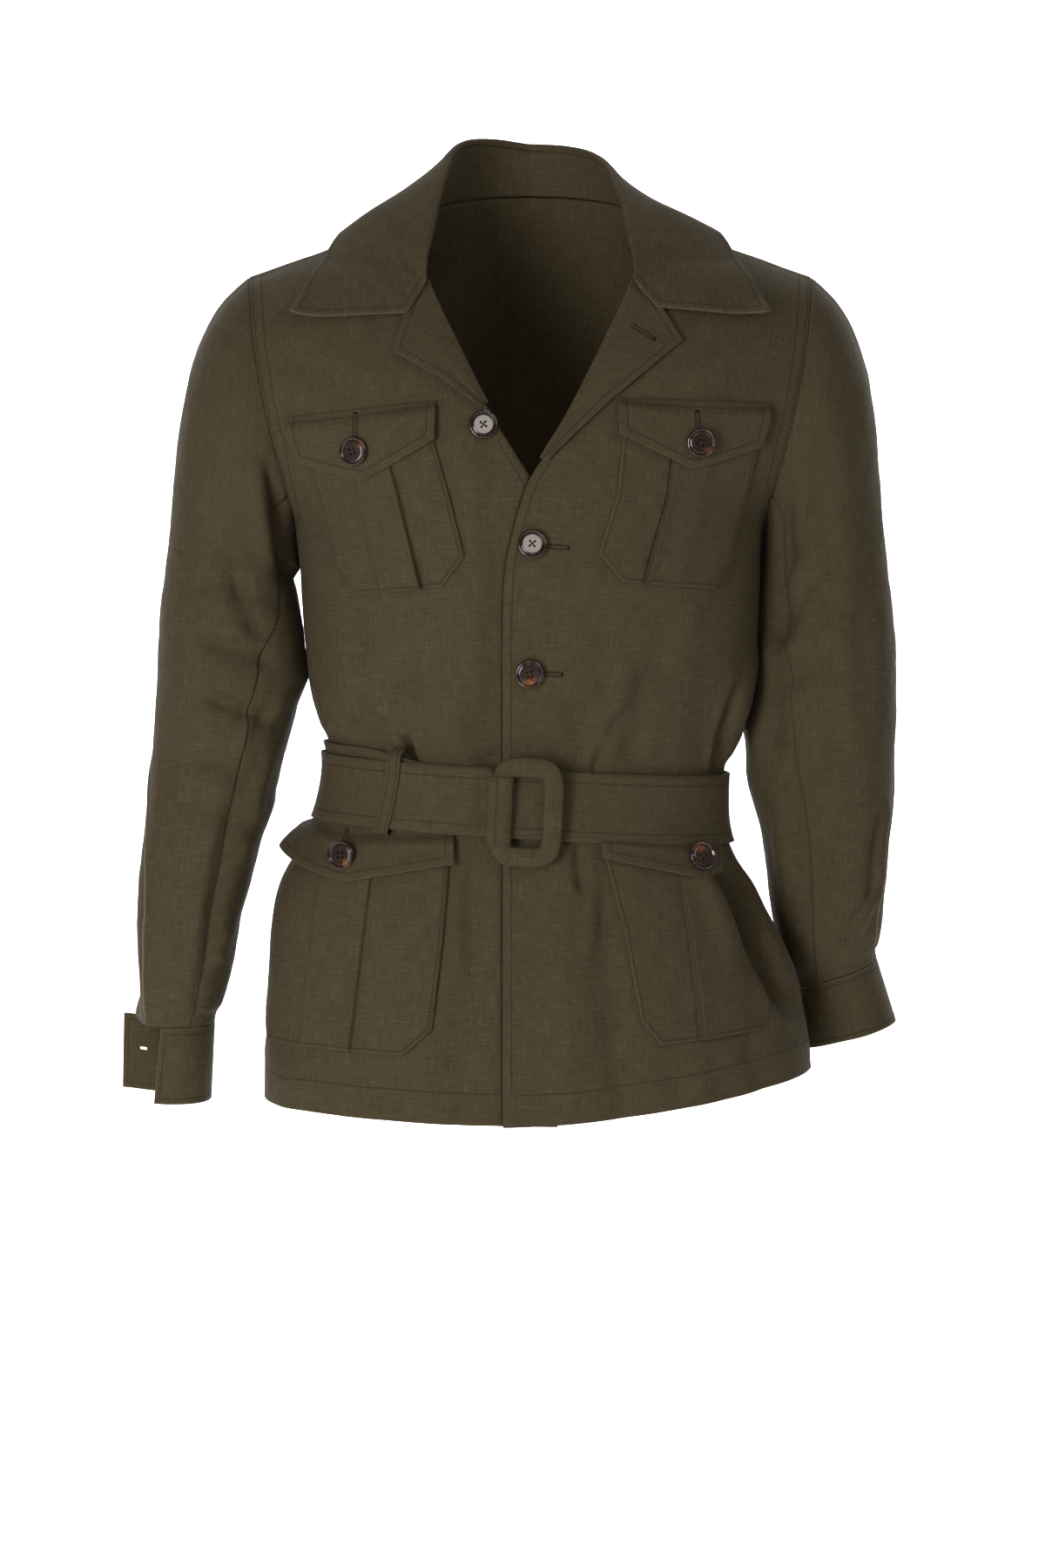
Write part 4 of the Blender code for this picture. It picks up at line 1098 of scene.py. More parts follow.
# Patch pockets: rows from the top edge down; flaps: top edge's ends and the drops of its lower edge
pocketCut = {"wall": 0.0014, "reach": {"pocket": (6, 5), "flap": (6, 6)}, "pleatRise": 0.0018,
             "pleatDip": 0.0011, "lift": {"chest": 0.0024, "hip": 0.0033}, "flapOver": 0.0041,
             "flapEdge": 0.0012, "sewn": 0.0016, "tucked": {"chest": 0.0, "hip": 0.22},
             "sunk": {("hip", left): 1.0}, "sunkLift": -0.0012, "grid": (56, 60), "flapGrid": (80, 30),
             "pleatStep": 0.006, "gapeWidth": 0.05, "dipAt": 0.016, "dipWidth": 0.010,
             "sunkFrom": (0.74, 0.24), "hangFade": 0.28, "flareFrom": (0.70, 0.30), "sweep": (-30, 480),
             "stepsPerDegree": 4, "pleatSteps": (-2, -1.2, -0.6, 0, 0.6, 1.2, 2), "lastShare": 0.999,
             "pleatRoom": (0.02, 0.05), "gapeFade": (0.8, 0.05), "dipFade": 0.3, "looseTop": 0.3,
             "edgeFrom": (0.5, 0.5)}
PocketRow = namedtuple("PocketRow", "inX inZ outZ width")
# each box pleat: its two edges across the pocket, how far each stands open at the bottom, how soft it is,
# and how far it leans
Pleat = namedtuple("Pleat", "edges gapes soft lean")
pleats = {("chest", right): Pleat((0.355, 0.645), (0.0026, 0.0014), (0.010, 0.014), 0.0),
          ("chest", left): Pleat((0.37, 0.66), (0.0024, 0.0), (0.010, 0.150), 0.0),
          ("hip", right): Pleat((0.36, 0.62), (0.0016, 0.0010), (0.010, 0.010), 0.0),
          ("hip", left): Pleat((0.56, 0.98), (0.0022, 0.0), (0.010, 0.010), -0.18)}
pocketRows = {key: inMetres(PocketRow, rows) for key, rows in {
    ("chest", right): (
        (78, -160, -172, 106), (62, -215, -222, 110), (50, -263, -273, 110), (67, -286, -293, 75)),
    ("chest", left): (
        (72, -157, -160, 110), (66, -215, -218, 112), (52, -260, -266, 114), (70, -282, -288, 78)),
    ("hip", right): (
        (62, -492, -488, 166), (67, -556, -552, 174), (75, -626, -622, 176), (97, -646, -642, 132)),
    ("hip", left): (
        (58, -497, -494, 103), (72, -550, -545, 105), (85, -619, -610, 114), (100, -638, -629, 99)),
}.items()}
Flap = namedtuple("Flap", "inX inZ outZ width pointAt dropIn dropPoint dropOut flare")
flapCut = {
    ("chest", right): Flap(0.072, -0.145, -0.157, 0.121, 0.5, 0.030, 0.053, 0.032, 0.0),
    ("chest", left): Flap(0.067, -0.143, -0.146, 0.121, 0.5, 0.028, 0.051, 0.032, 0.0),
    ("hip", right): Flap(0.058, -0.4700, -0.4620, 0.172, 0.5, 0.0310, 0.051, 0.0405, 0.0100),
    ("hip", left): Flap(0.054, -0.4740, -0.4780, 0.107, 0.76, 0.0220, 0.0383, 0.0315, 0.0),
}


def layRow(side, startX, width, zAt, shares):
    # body points along a line that starts at x = startX, at shares of its width
    walked, last, found = None, None, []
    wanted = list(shares)
    for step in range(*pocketCut["sweep"]):
        share = 0.0 if walked is None else walked / width
        hit = bodyHit(side * radians(step / pocketCut["stepsPerDegree"]), zAt(min(1.0, share)))
        if hit is None:
            continue
        place, normal = hit
        if last is not None:
            before, after = last[0].x * side, place.x * side
            stretch = (place - last[0]).length
            if walked is not None:
                walked += stretch
            elif before <= startX < after:
                walked = stretch * (after - startX) / (after - before)
            while walked is not None and wanted and walked >= wanted[0] * width:
                back = (walked - wanted[0] * width) / stretch
                found.append((mix(place, last[0], back), mix(normal, last[1], back).normalized()))
                wanted.pop(0)
            if not wanted:
                return found
        last = (place, normal)
    return found + [last] * len(wanted)


def layGrid(side, lines, shares, lift, reach, loose):
    # lines give startX, width, zAt and shares for each row; loose rows bridge hollows narrower than the reach
    spots = [layRow(side, *line) for line in lines]
    rows, columns = len(spots), len(shares)
    reachAcross, reachDown = reach
    laid = []
    for j in range(rows):
        line = []
        for i in range(columns):
            place, out = spots[j][i]
            rise = 0.0
            for di, dj in ((reachAcross, 0), (-reachAcross, 0), (0, reachDown), (0, -reachDown)):
                near = spots[min(rows - 1, max(0, j + dj))][min(columns - 1, max(0, i + di))][0]
                rise = max(rise, (near - place).dot(out))
            line.append(place + out * (rise * loose(j / (rows - 1)) + lift(shares[i], j / (rows - 1))))
        laid.append(line)
    return laid


def gridCloth(kind, where, side, laid):
    rows, columns = len(laid) - 1, len(laid[0]) - 1
    return Cloth("cloth_%s_%s_%s" % (kind, where, sideName[side]), columns, rows,
                 pointwise(lambda u, v: laid[round(v * rows)][round(u * columns)]), (0, -1, 0))


def pocketRowAt(rows, v):
    at = v * (len(rows) - 1)
    i = min(int(at), len(rows) - 2)
    return PocketRow(*(mix(a, b, at - i) for a, b in zip(rows[i], rows[i + 1])))


def rowShares(rows, row, shares, pleat):
    # the pleat may lean; where the corners are cut it runs straight on, and the sides draw in to it
    top, before, above, low = (rows[k] for k in (0, -3, -2, -1))
    room, least = pocketCut["pleatRoom"]
    first, last = max(least, pleat.edges[0] - room), min(1 - least, pleat.edges[1] + room)
    low, high = first + pleat.lean * (top.inZ - row.inZ) / (top.inZ - low.inZ), last
    if row.inZ < above.inZ:
        far = 1 + (above.inZ - row.inZ) / (before.inZ - above.inZ)
        start, width = mix(before.inX, above.inX, far), mix(before.width, above.width, far)
        low, high = ((start + share * width - row.inX) / row.width for share in (low, high))
    return [piecewise(((0.0, 0.0), (first, low), (last, high), (1.0, 1.0)), share) for share in shares]


def pleatShares(columns, edges):
    # even columns, with close ones where the pleat's edges step
    shares = [i / columns for i in range(columns + 1)]
    for edge in edges:
        close = [edge + k * pocketCut["pleatStep"] for k in pocketCut["pleatSteps"]]
        shares += [share for share in close if share < pocketCut["lastShare"]]
    return sorted(shares)


pockets, flaps = {}, {}
pocketColumns, pocketDown = pocketCut["grid"]
for (where, side), rows in pocketRows.items():
    pleat = pleats[where, side]
    shares = pleatShares(pocketColumns, pleat.edges)
    lines = []
    for j in range(pocketDown + 1):
        row = pocketRowAt(rows, j / pocketDown)
        lines.append((row.inX, row.width, lambda share, row=row: mix(row.inZ, row.outZ, share),
                      rowShares(rows, row, shares, pleat)))

    def pocketLift(share, v):
        (first, last), (firstSoft, lastSoft) = pleat.edges, pleat.soft
        strip = ease((share - first) / firstSoft + 0.5) * ease((last - share) / lastSoft + 0.5)
        opened = sum(gape * bell((share - edge) / pocketCut["gapeWidth"])
                     for edge, gape in zip(pleat.edges, pleat.gapes))
        rise = strip * (pocketCut["pleatRise"] + opened * within(v, *pocketCut["gapeFade"]))
        beside = sum(bell((share - edge - way * pocketCut["dipAt"]) / pocketCut["dipWidth"])
                     for edge, gape, way in zip(pleat.edges, pleat.gapes, (-1, 1)) if gape)
        rise -= pocketCut["pleatDip"] * beside * ease(v / pocketCut["dipFade"])
        sunk = pocketCut["sunk"].get((where, side), 0.0) * onset(share, pocketCut["sunkFrom"])
        return mix(pocketCut["lift"][where] + rise, pocketCut["sunkLift"], sunk)
    laid = layGrid(side, lines, shares, pocketLift, pocketCut["reach"]["pocket"],
                   lambda v: ease(pocketCut["looseTop"] + v))
    pocket = gridCloth("pocket", where, side, laid)
    folded = [edge for edge, gape in zip(pleat.edges, pleat.gapes) if gape]
    # painted shade along the pleat's open folds
    pocket.seamRows.append([[min(abs(share - edge) for edge in folded) * length for share in shares]
                            for length in pocket.rowLength])
    pockets[where, side] = pocket
flapColumns, flapDown = pocketCut["flapGrid"]
for (where, side), flap in flapCut.items():
    drops = [(0.0, flap.dropIn), (flap.pointAt, flap.dropPoint), (1.0, flap.dropOut)]
    shares = [i / flapColumns for i in range(flapColumns + 1)]
    lines = []
    for j in range(flapDown + 1):
        lines.append((flap.inX, flap.width, lambda share, down=j / flapDown:
                      mix(flap.inZ, flap.outZ, share) - down * piecewise(drops, share), shares))
    tucked = pocketCut["tucked"][where]         # this far down it lies close, below the belt

    def free(v):
        return ease((v - tucked) / pocketCut["hangFade"])

    def flapLift(share, v):
        hung = pocketCut["lift"][where] + pocketCut["flapOver"]
        hung += pocketCut["flapEdge"] * onset(v, pocketCut["edgeFrom"])
        corner = flap.flare * onset(share, pocketCut["flareFrom"]) * ease(v)
        return mix(pocketCut["sewn"], hung, free(v)) + corner
    laid = layGrid(side, lines, shares, flapLift, pocketCut["reach"]["flap"], free)
    flaps[where, side] = gridCloth("flap", where, side, laid)
print("pockets and flaps laid on")

# Belt, its free end, the keeper and the covered buckle
beltCut = {"wall": 0.0022, "half": 0.0268, "midZ": -0.4535, "tilt": -0.059, "baseLift": 0.0045,
           "endLift": 0.0085, "reach": 0.07, "endReach": 0.13, "around": (radians(-12), radians(347.3)),
           "end": (radians(9), radians(-104)), "endHalf": 0.97, "keeperWall": 0.0014,
           "keeper": (-50.0, -54.0), "keeperLean": 1.2, "ride": 0.0075,
           "rideFrom": (radians(215), radians(35)), "rideTo": (radians(-320), radians(24)),
           "grid": (420, 16), "endGrid": (170, 16), "keeperGrid": (14, 64)}
keeperPath = [Vector(spot) for spot in (
    (1.34, 0.0020), (1.30, 0.0050), (1.16, 0.0098), (0.9, 0.0112), (0.0, 0.0112), (-0.9, 0.0112),
    (-1.10, 0.0098), (-1.14, 0.0060), (-1.15, 0.0026))]


def onBelt(angle, height, lift, reach, ride=0.0):
    # height -1 lower edge to 1 upper edge; bridges steps nearer than reach
    z = beltCut["midZ"]
    for _ in range(3):
        place, normal = bodyHit(angle, z)
        z = beltCut["midZ"] + beltCut["tilt"] * place.x + height * beltCut["half"] + ride
    out = Vector((normal.x, normal.y, 0)).normalized()
    rise = max(0.0, *((bodyHit(angle + turn, z)[0] - place).dot(out) for turn in (-reach, reach)))
    return place + out * (lift + rise)


def keeperSurface(u, v):
    height, lift = spline(keeperPath, v * (len(keeperPath) - 1))
    angle = radians(mix(*beltCut["keeper"], u) + beltCut["keeperLean"] * height)
    return onBelt(angle, height, lift, beltCut["reach"])


def beltAround(u, v):
    # rides up a little at the right side, where it shows above the free end
    angle = mix(*beltCut["around"], u)
    ride = beltCut["ride"] * onset(angle, beltCut["rideFrom"]) * onset(-angle, beltCut["rideTo"])
    return onBelt(angle, 1 - 2 * v, beltCut["baseLift"], beltCut["reach"], ride)


def beltEndSurface(u, v):
    height = (1 - 2 * v) * beltCut["endHalf"]
    return onBelt(mix(*beltCut["end"], u), height, beltCut["endLift"], beltCut["endReach"])


belt = Cloth("cloth_belt", *beltCut["grid"], pointwise(beltAround), (0, 1, 0))
beltEnd = Cloth("cloth_belt_end", *beltCut["endGrid"], pointwise(beltEndSurface), (-1, -1, 0))
keeper = Cloth("cloth_belt_keeper", *beltCut["keeperGrid"], pointwise(keeperSurface), (-1, -1, 0))

buckleCut = {"mid": (-0.003, -0.4585), "half": (0.0205, 0.0345), "bar": (0.0075, 0.0027),
             "lean": radians(-2.5), "square": 0.42, "lift": 0.0159, "grid": (140, 28), "rumple": 0.0002,
             "wrap": (0.0090, 0.0046), "wrapHalf": 0.0262, "wrapTurn": radians(118), "wrapGrid": (40, 40),
             "girthShare": 0.7, "rumpleScale": 2}
buckleAt = frontHit(left, *buckleCut["mid"])[0] - Vector((0, buckleCut["lift"], 0))


def leaned(x, y, z):
    lean = buckleCut["lean"]
    return buckleAt + Vector((x * cos(lean) - z * sin(lean), y, x * sin(lean) + z * cos(lean)))


def makeBuckle():
    # a padded bar of oval section bent round a rounded oblong, covered in cloth
    halfX, halfZ = buckleCut["half"]
    wide, thick = buckleCut["bar"]
    around, girth = 4 * (halfX + halfZ), 2 * pi * wide * buckleCut["girthShare"]
    bm = bmesh.new()
    bmesh.ops.create_grid(bm, x_segments=buckleCut["grid"][0], y_segments=buckleCut["grid"][1], size=0.5)
    weave = bm.loops.layers.uv.new("weave")
    for face in bm.faces:
        for loop in face.loops:
            loop[weave].uv = (loop.vert.co.y * girth, loop.vert.co.x * around)
    for vert in bm.verts:
        turn, tube = (vert.co.x + 0.5) * 2 * pi, (vert.co.y + 0.5) * 2 * pi
        x, z = squarish(turn, buckleCut["square"])
        sideX, sideZ = Vector((x ** 3 / halfX, z ** 3 / halfZ)).normalized()
        ring = cos(tube) * wide
        place = leaned(halfX * x + sideX * ring, sin(tube) * thick, halfZ * z + sideZ * ring)
        vert.co = place + Vector((0, rumple(place * buckleCut["rumpleScale"], buckleCut["rumple"]), 0))
    bmesh.ops.remove_doubles(bm, verts=bm.verts, dist=weld)
    bmesh.ops.recalc_face_normals(bm, faces=bm.faces)
    farFromSeams(bm, (*seamNames, "rim"))
    addPiece("covered_buckle", meshFrom("covered_buckle", bm, linen), "linen", "buckle")


def wrapSurface(u, v):
    # the belt's fixed end, turned round the buckle's bar
    wide, thick = buckleCut["wrap"]
    turn = mix(-buckleCut["wrapTurn"], buckleCut["wrapTurn"], u)
    z = mix(1, -1, v) * buckleCut["wrapHalf"]
    return leaned(-buckleCut["half"][0] + sin(turn) * wide, -cos(turn) * thick, z)


makeBuckle()
wrap = Cloth("cloth_belt_wrap", *buckleCut["wrapGrid"], pointwise(wrapSurface), (0, -1, 0))
print("belt and buckle made")

# Creases: from x, z to x, z, half width, depth (minus is a trough), bow
frontCreases = inMetres(Crease, (
    (76.7, -351.5, 58.8, -428, 8.5, 4.6, 3), (68, -385, 50, -432, 5.5, -6.2, 2),
    (34, -375, 36, -435, 12, -3.4, -3), (95, -362, 90, -430, 8, 2.2, -3),
    (176, -345, 156, -432, 7, 4.8, 4), (164, -360, 143.5, -434, 4.2, -8.5, 3),
    (125, -300, 115, -425, 12, 2.4, 6), (50, -300, 56, -370, 14, -1.8, -4),
    (172, -230, 145, -290, 9, -3, -5), (147.6, -506.5, 193.8, -605.6, 8, -24, 2.3),
    (166, -500, 206, -600, 8, 5, 5), (37, -487, 40, -518, 5, -5, 1), (47, -488, 45, -560, 6, 3, -2),
    (54, -510, 74, -700, 12, -2, 4), (18, -560, 26, -695, 13, 2.4, -4), (130, -640, 138, -695, 12, 2.8, 3),
    (170, -640, 190, -685, 10, -3, 3), (-97.5, -404, -88, -429, 3.8, -16, 1),
    (-106, -372, -101, -425, 7, 3.4, 3), (-40, -380, -33, -432, 12, -4.4, 2),
    (-127, -325, -143, -345, 9, -4.4, -2), (-141.5, -300, -124, -330, 9, -3.2, 2),
    (-158, -378, -124, -403, 7.5, -5, 4), (-160, -370, -154, -410, 5.5, 3.2, 2),
    (-80, -355, -73, -395, 10, 2.8, 3), (-62, -360, -56, -430, 9, 2.6, 4),
    (-172, -225, -150, -275, 9, -3, 5), (-42, -495, -38, -600, 8, -3.6, 4),
    (-30, -500, -32, -690, 12, 2.6, -3), (-56, -600, -50, -695, 12, -2.6, 4),
    (-180, -655, -190, -695, 11, 2.8, 3), (-110, -655, -108, -697, 14, -2, 3),
    (190, -120, 150, -135, 9, -2, 3), (-190, -115, -148, -132, 9, -2, -3),
))
backCreases = inMetres(Crease, (
    (-20, -120, -120, -230, 12, 2, 10), (30, -105, 125, -215, 11, 1.8, -12),
    (-150, -140, -120, -290, 12, -2.4, 8), (150, -150, 118, -300, 13, -2.2, -8),
    (-90, -330, -70, -428, 7.5, 3, 4), (-45, -350, -50, -428, 7, -2.6, 3), (12, -335, 4, -428, 9, 2.6, -3),
    (52, -345, 46, -428, 6.5, -2.2, 3), (96, -325, 76, -428, 8, 3.2, -5),
    (130, -350, 118, -428, 7, -2.4, 4), (-130, -340, -115, -428, 8, -2.6, -4),
    (-100, -490, -128, -690, 11, 3.2, 6), (-50, -490, -62, -640, 9, -3, 4),
    (20, -495, 10, -690, 12, 2.6, -5), (66, -490, 78, -660, 9, -3, 4), (118, -495, 140, -680, 11, 3, -4),
    (165, -520, 185, -670, 10, -2.6, 4), (-165, -515, -180, -680, 10, -2.6, 4),
))
sleeveCreases = inMetres(Crease, (
    (-198, -195, -190, -275, 8.5, -14, 0), (-230, -272, -207, -332, 9, -5, 3),
    (-198, -300, -262, -285, 8, -2.6, 4), (-205, -345, -252, -328, 6.5, -3.4, 3),
    (-200, -396, -258, -372, 7, -3.6, 4), (-210, -446, -272, -420, 7.5, -3, 5),
    (-192.6, -373, -206.4, -402.6, 5, 3.4, 1), (-214.3, -385, -224.1, -414.4, 5, 3.4, 1),
    (-204.5, -422, -216.3, -473, 5.5, 3.6, 2), (-230, -452, -253, -575, 7, -4, 2),
    (-221.5, -487, -226.5, -505, 5, 2.8, 0), (-237.9, -558, -245.8, -581.7, 5, 3.6, 1),
    (-252, -500, -262, -610, 8, 2.6, 4), (-290, -380, -286, -520, 10, -2.6, -6),
    (-270, -560, -276, -622, 6, 2.6, 2), (-256, -585, -262, -622, 5, -2.8, 2),
    (-240, -130, -262, -230, 11, -2.2, 6), (197, -230, 186, -322, 8.5, -14, 0),
    (190, -276, 226, -218, 9, -6.2, 3), (182, -332, 216, -284, 9, -6.2, 3),
    (222, -335, 234, -290, 8.5, -3, -3), (194.5, -310, 190, -425, 9, -5.6, 2),
    (188, -372, 246, -350, 8, -1.8, -4), (190, -432, 250, -408, 8, -1.6, -4),
    (196, -470, 206, -530, 6, 3.2, 2), (204, -440, 216, -520, 6, -2.2, 2),
    (282, -461.7, 275.4, -530, 3.4, 4.2, 1), (275, -466, 268, -535, 5, -3.4, 1),
    (275, -532, 256.9, -571, 3.6, 4, 2), (246, -480, 240, -590, 9, -2, 4),
    (240, -130, 262, -235, 11, -2.2, -6), (262, -260, 268, -400, 11, -2.4, 6),
))
covers = joinTrees([*lapels.values(), *pockets.values(), *flaps.values(), belt, collar])


def pressed(place, height):
    # ridges die out under a piece that lies on the cloth; troughs run on below it
    return height if height < 0 else height * onset(covers.find_nearest(place)[3], bodyCut["underCover"])


for side, front in fronts.items():
    front.push(lambda place, u, v, out: pressed(
        place, creaseHeight(frontCreases, place.x, place.z, side) * within(u, *bodyCut["creaseFade"])
        + rumple(place, bodyCut["rumple"]) * within(u, bodyCut["rumpleFade"], bodyCut["rumpleFade"])))
back.push(lambda place, u, v, out: ease((1 - abs(u * 2 - 1)) / bodyCut["backFade"]) * pressed(
    place, creaseHeight(backCreases, place.x, place.z) + rumple(place, bodyCut["rumple"])))


def sleeveLip(piece, u, v):
    # the under sleeve's edges sink below the upper one's, which rises a little along the lower back seam
    if piece == "under":
        return -sleeveCut["sink"] * sum(bell(far / sleeveCut["sinkWidth"]) for far in (u, 1 - u))
    return sleeveCut["lip"] * bell((1 - u) / sleeveCut["lipWidth"]) * onset(v, sleeveCut["lipFrom"])


deepFold = [line for line in frontCreases if line.depth < bodyCut["deepFold"]]
pockets["hip", left].push(lambda place, u, v, out: creaseHeight(deepFold, place.x, place.z))
for (piece, side), sleeve in sleeves.items():
    sleeve.push(lambda place, u, v, out: sleeveFree(v) * (
        creaseHeight(sleeveCreases, place.x, place.z, side) * max(
            ease(abs(out.y) / sleeveCut["faceOn"]),
            sleeveCut["innerShare"] * onset(-place.z, sleeveCut["besideBody"]))
        + rumple(place, sleeveCut["rumple"]) + sleeveLip(piece, u, v)))
print("creases pressed in")

# Rows of stitches: distances inside the edges
sewing = {"front": 0.0066, "lap": 0.0006, "hem": 0.0245, "armhole": (0.0024, 0.0098), "armholeEnd": 0.36,
          "collar": 0.0052, "lapel": 0.0050, "pocket": 0.0028, "flap": 0.0064, "flapTop": 0.0056,
          "belt": 0.0080, "keeper": 0.0022, "cuff": 0.0046, "wrap": 0.0125, "pitch": 0.0033,
          "proud": 0.00006, "uneven": (0.12, 900), "size": (0.0024, 0.00062, 0.00046), "frontFrom": 0.3}
for side in (right, left):
    fronts[side].sew((sewing["front"], ("first", sewing["frontFrom"], 1.0)), (sewing["hem"], "bottom"))
    lapels[side].sew((sewing["lapel"], "last", "top"))
    cuffs[side].sew((sewing["cuff"], "first", "last", "top", "bottom"))
    for inset in sewing["armhole"]:
        fronts[side].sew((inset, ("last", 0.0, sewing["armholeEnd"])))
# a painted shade line on the right front, along the left front's lapped edge
lapEdge = [(-line[0][0].z, line[0][0].x) for line in fronts[left].spots]
fronts[right].seamRows.append([[place.x - piecewise(lapEdge, -place.z) + sewing["lap"] for place, _ in line]
                               for line in fronts[right].spots])
back.sew((sewing["hem"], "bottom"))
for inset in sewing["armhole"]:
    back.sew((inset, ("first", 0.0, sewing["armholeEnd"]), ("last", 0.0, sewing["armholeEnd"])))
collar.sew((sewing["collar"], "first", "last", "bottom"))
for pocket in pockets.values():
    pocket.sew((sewing["pocket"], "first", "last", "bottom"))
for (where, side), flap in flaps.items():
    flap.sew((sewing["flap"], "first", "last", "bottom"))
    if where == "chest":
        flap.sew((sewing["flapTop"], "top"))
belt.sew((sewing["belt"], "top", "bottom"))
beltEnd.sew((sewing["belt"], "top", "bottom", "last"))
keeper.sew((sewing["keeper"], "first", "last"))
wrap.sew((sewing["wrap"], "last"))
print("rows of stitches drawn")

for side in (right, left):
    name = sideName[side]
    fronts[side].finish("front_" + name, bodyCut["wall"], "hung", ["collar", "back"], ("first", "bottom"))
    lapels[side].finish("lapel_" + name, lapelCut["wall"], "folded", ["front_" + name])
    cuffs[side].finish("cuff_" + name, cuffCut["wall"], "hung", ["sleeve_upper_" + name], rimShift=0.0)
    # the upper sleeve's lower back edge gets a bright painted highlight line
    for piece, rims in (("upper", (("last", sleeveCut["rimFrom"], 1.0),)), ("under", ())):
        sleeves[piece, side].finish("sleeve_%s_%s" % (piece, name), sleeveCut["wall"], "hung",
                                    ["front_" + name, "back"], rims, sleeveCut["rimShift"])
    for where in ("chest", "hip"):
        for kind, cloths, held in (("pocket", pockets, "laid"), ("flap", flaps, "hung")):
            cloths[where, side].finish("%s_%s_%s" % (kind, where, name), pocketCut["wall"], held,
                                       ["front_" + name])
back.finish("back", bodyCut["wall"], "hung", ["collar_stand"], ("bottom",))
collar.finish("collar", collarCut["wall"], "folded", ["collar_stand"])
collarStand.finish("collar_stand", collarCut["standWall"], "hung", ["back"])
belt.finish("belt", beltCut["wall"], "laid", ["back", "front_left", "front_right"])
beltEnd.finish("belt_end", beltCut["wall"], "laid", ["belt"])
keeper.finish("belt_keeper", beltCut["keeperWall"], "laid", ["belt"])
wrap.finish(None, beltCut["keeperWall"], "folded", ["buckle"])
print("cloth handed to the frame")


def bead(bm, place, along, out, size):
    # one stitch: a long low pebble of thread; in the shade material it is a bead of painted shade
    side = along.cross(out).normalized()
    turn = Matrix((along * size[0] / 2, side * size[1] / 2, out * size[2] / 2)).transposed().to_4x4()
    bmesh.ops.create_icosphere(bm, subdivisions=1, radius=1.0, matrix=Matrix.Translation(place) @ turn)


def threadAndShadeBeads(name, bm, material=thread):
    addPiece(name, meshFrom(name, bm, material), "linen")


def makeStitches(name, cloths):
    bm = bmesh.new()
    length, width, height = sewing["size"]
    swing, perMetre = sewing["uneven"]
    count = 0
    for cloth in cloths:
        for chain in cloth.chains:
            chunk = bmesh.new()                # a small mesh keeps each operator quick
            spots = [cloth.at(u, v, cloth.wall / 2 + sewing["proud"]) for u, v in chain]
            walked, wanted = 0.0, sewing["pitch"] / 2
            for (here, out), (after, _) in zip(spots, spots[1:]):
                step = (after - here).length
                while step > 1e-7 and walked + step >= wanted:
                    along = (after - here).normalized()
                    spot = mix(here, after, (wanted - walked) / step)
                    uneven = 1 + swing * noise.noise(spot * perMetre)
                    bead(chunk, spot, along, out, (length * uneven, width, height))
                    wanted += sewing["pitch"]
                    count += 1
                walked += step
            pour(chunk, bm)
            chunk.free()
    threadAndShadeBeads(name, bm)
    return count


made = [makeStitches("stitches_body", [*fronts.values(), back]),
        makeStitches("stitches_collar", [collar, *lapels.values()]),
        makeStitches("stitches_pockets", [*pockets.values(), *flaps.values()]),
        makeStitches("stitches_belt", [belt, beltEnd, keeper, wrap]),
        makeStitches("stitches_cuffs", list(cuffs.values()))]
print("stitches sewn:", made)


def onCloth(cloth, x, z, facing=-1):
    # the cloth's outer face, seen from the front (-1) or the back (1)
    place, normal = seen(cloth.surface, x, z, facing, rays["cloth"])
    return place + normal * cloth.wall / 2, normal


# Buttonholes: cloth, ends in x and z
holeCut = {"pitch": 0.00072, "rail": 0.0010, "waver": (0.0001, 2000),
           "stitch": (0.0015, 0.000648, 0.0006), "outline": 1.75, "shade": (0.001584, 0.0005, 0.0005),
           "endShadeStep": 0.00055, "endShade": (0.0034, 0.0007, 0.0009)}
holes = (
    (fronts[left], (0.0085, -0.2546), (0.0290, -0.2563)),
    (fronts[left], (0.0065, -0.3526), (0.0245, -0.3532)),
    (flaps["chest", right], (-0.1338, -0.1790), (-0.1335, -0.1540)),
    (flaps["chest", left], (0.1278, -0.1720), (0.1272, -0.1530)),
    (flaps["hip", right], (-0.1445, -0.4900), (-0.1420, -0.4760)),
    (lapels[left], (0.0780, -0.0870), (0.0950, -0.0980)),
)


def makeButtonholes():
    # two rails of close stitches, with painted shade beads just outside them and a bar of painted shade at
    # the far end
    bm, railShade = bmesh.new(), bmesh.new()
    swing, perMetre = holeCut["waver"]
    for cloth, (x0, z0), (x1, z1) in holes:
        chunk = bmesh.new()
        start, end = onCloth(cloth, x0, z0)[0], onCloth(cloth, x1, z1)[0]
        steps = round((end - start).length / holeCut["pitch"])
        along = (end - start).normalized()
        for k in range(steps + 1):
            share = k / steps
            place, out = onCloth(cloth, mix(x0, x1, share), mix(z0, z1, share))
            side = along.cross(out).normalized()
            for way in (-1, 1):
                shift = side * way * (holeCut["rail"] + swing * noise.noise(place * perMetre))
                bead(chunk, place + shift, side, out, holeCut["stitch"])
                # painted shade beads just outside each rail
                bead(railShade, place + shift * holeCut["outline"], along, out, holeCut["shade"])
        place, out = onCloth(cloth, x1, z1)
        side = along.cross(out).normalized()
        # a bar of painted shade at the far end
        for k in (-1, 0, 1):
            bead(railShade, place + along * k * holeCut["endShadeStep"], side, out, holeCut["endShade"])
        pour(chunk, bm)
        chunk.free()
    threadAndShadeBeads("buttonhole_thread", bm)
    threadAndShadeBeads("buttonhole_rail_shade", railShade, shadow)


makeButtonholes()
print("buttonholes worked")

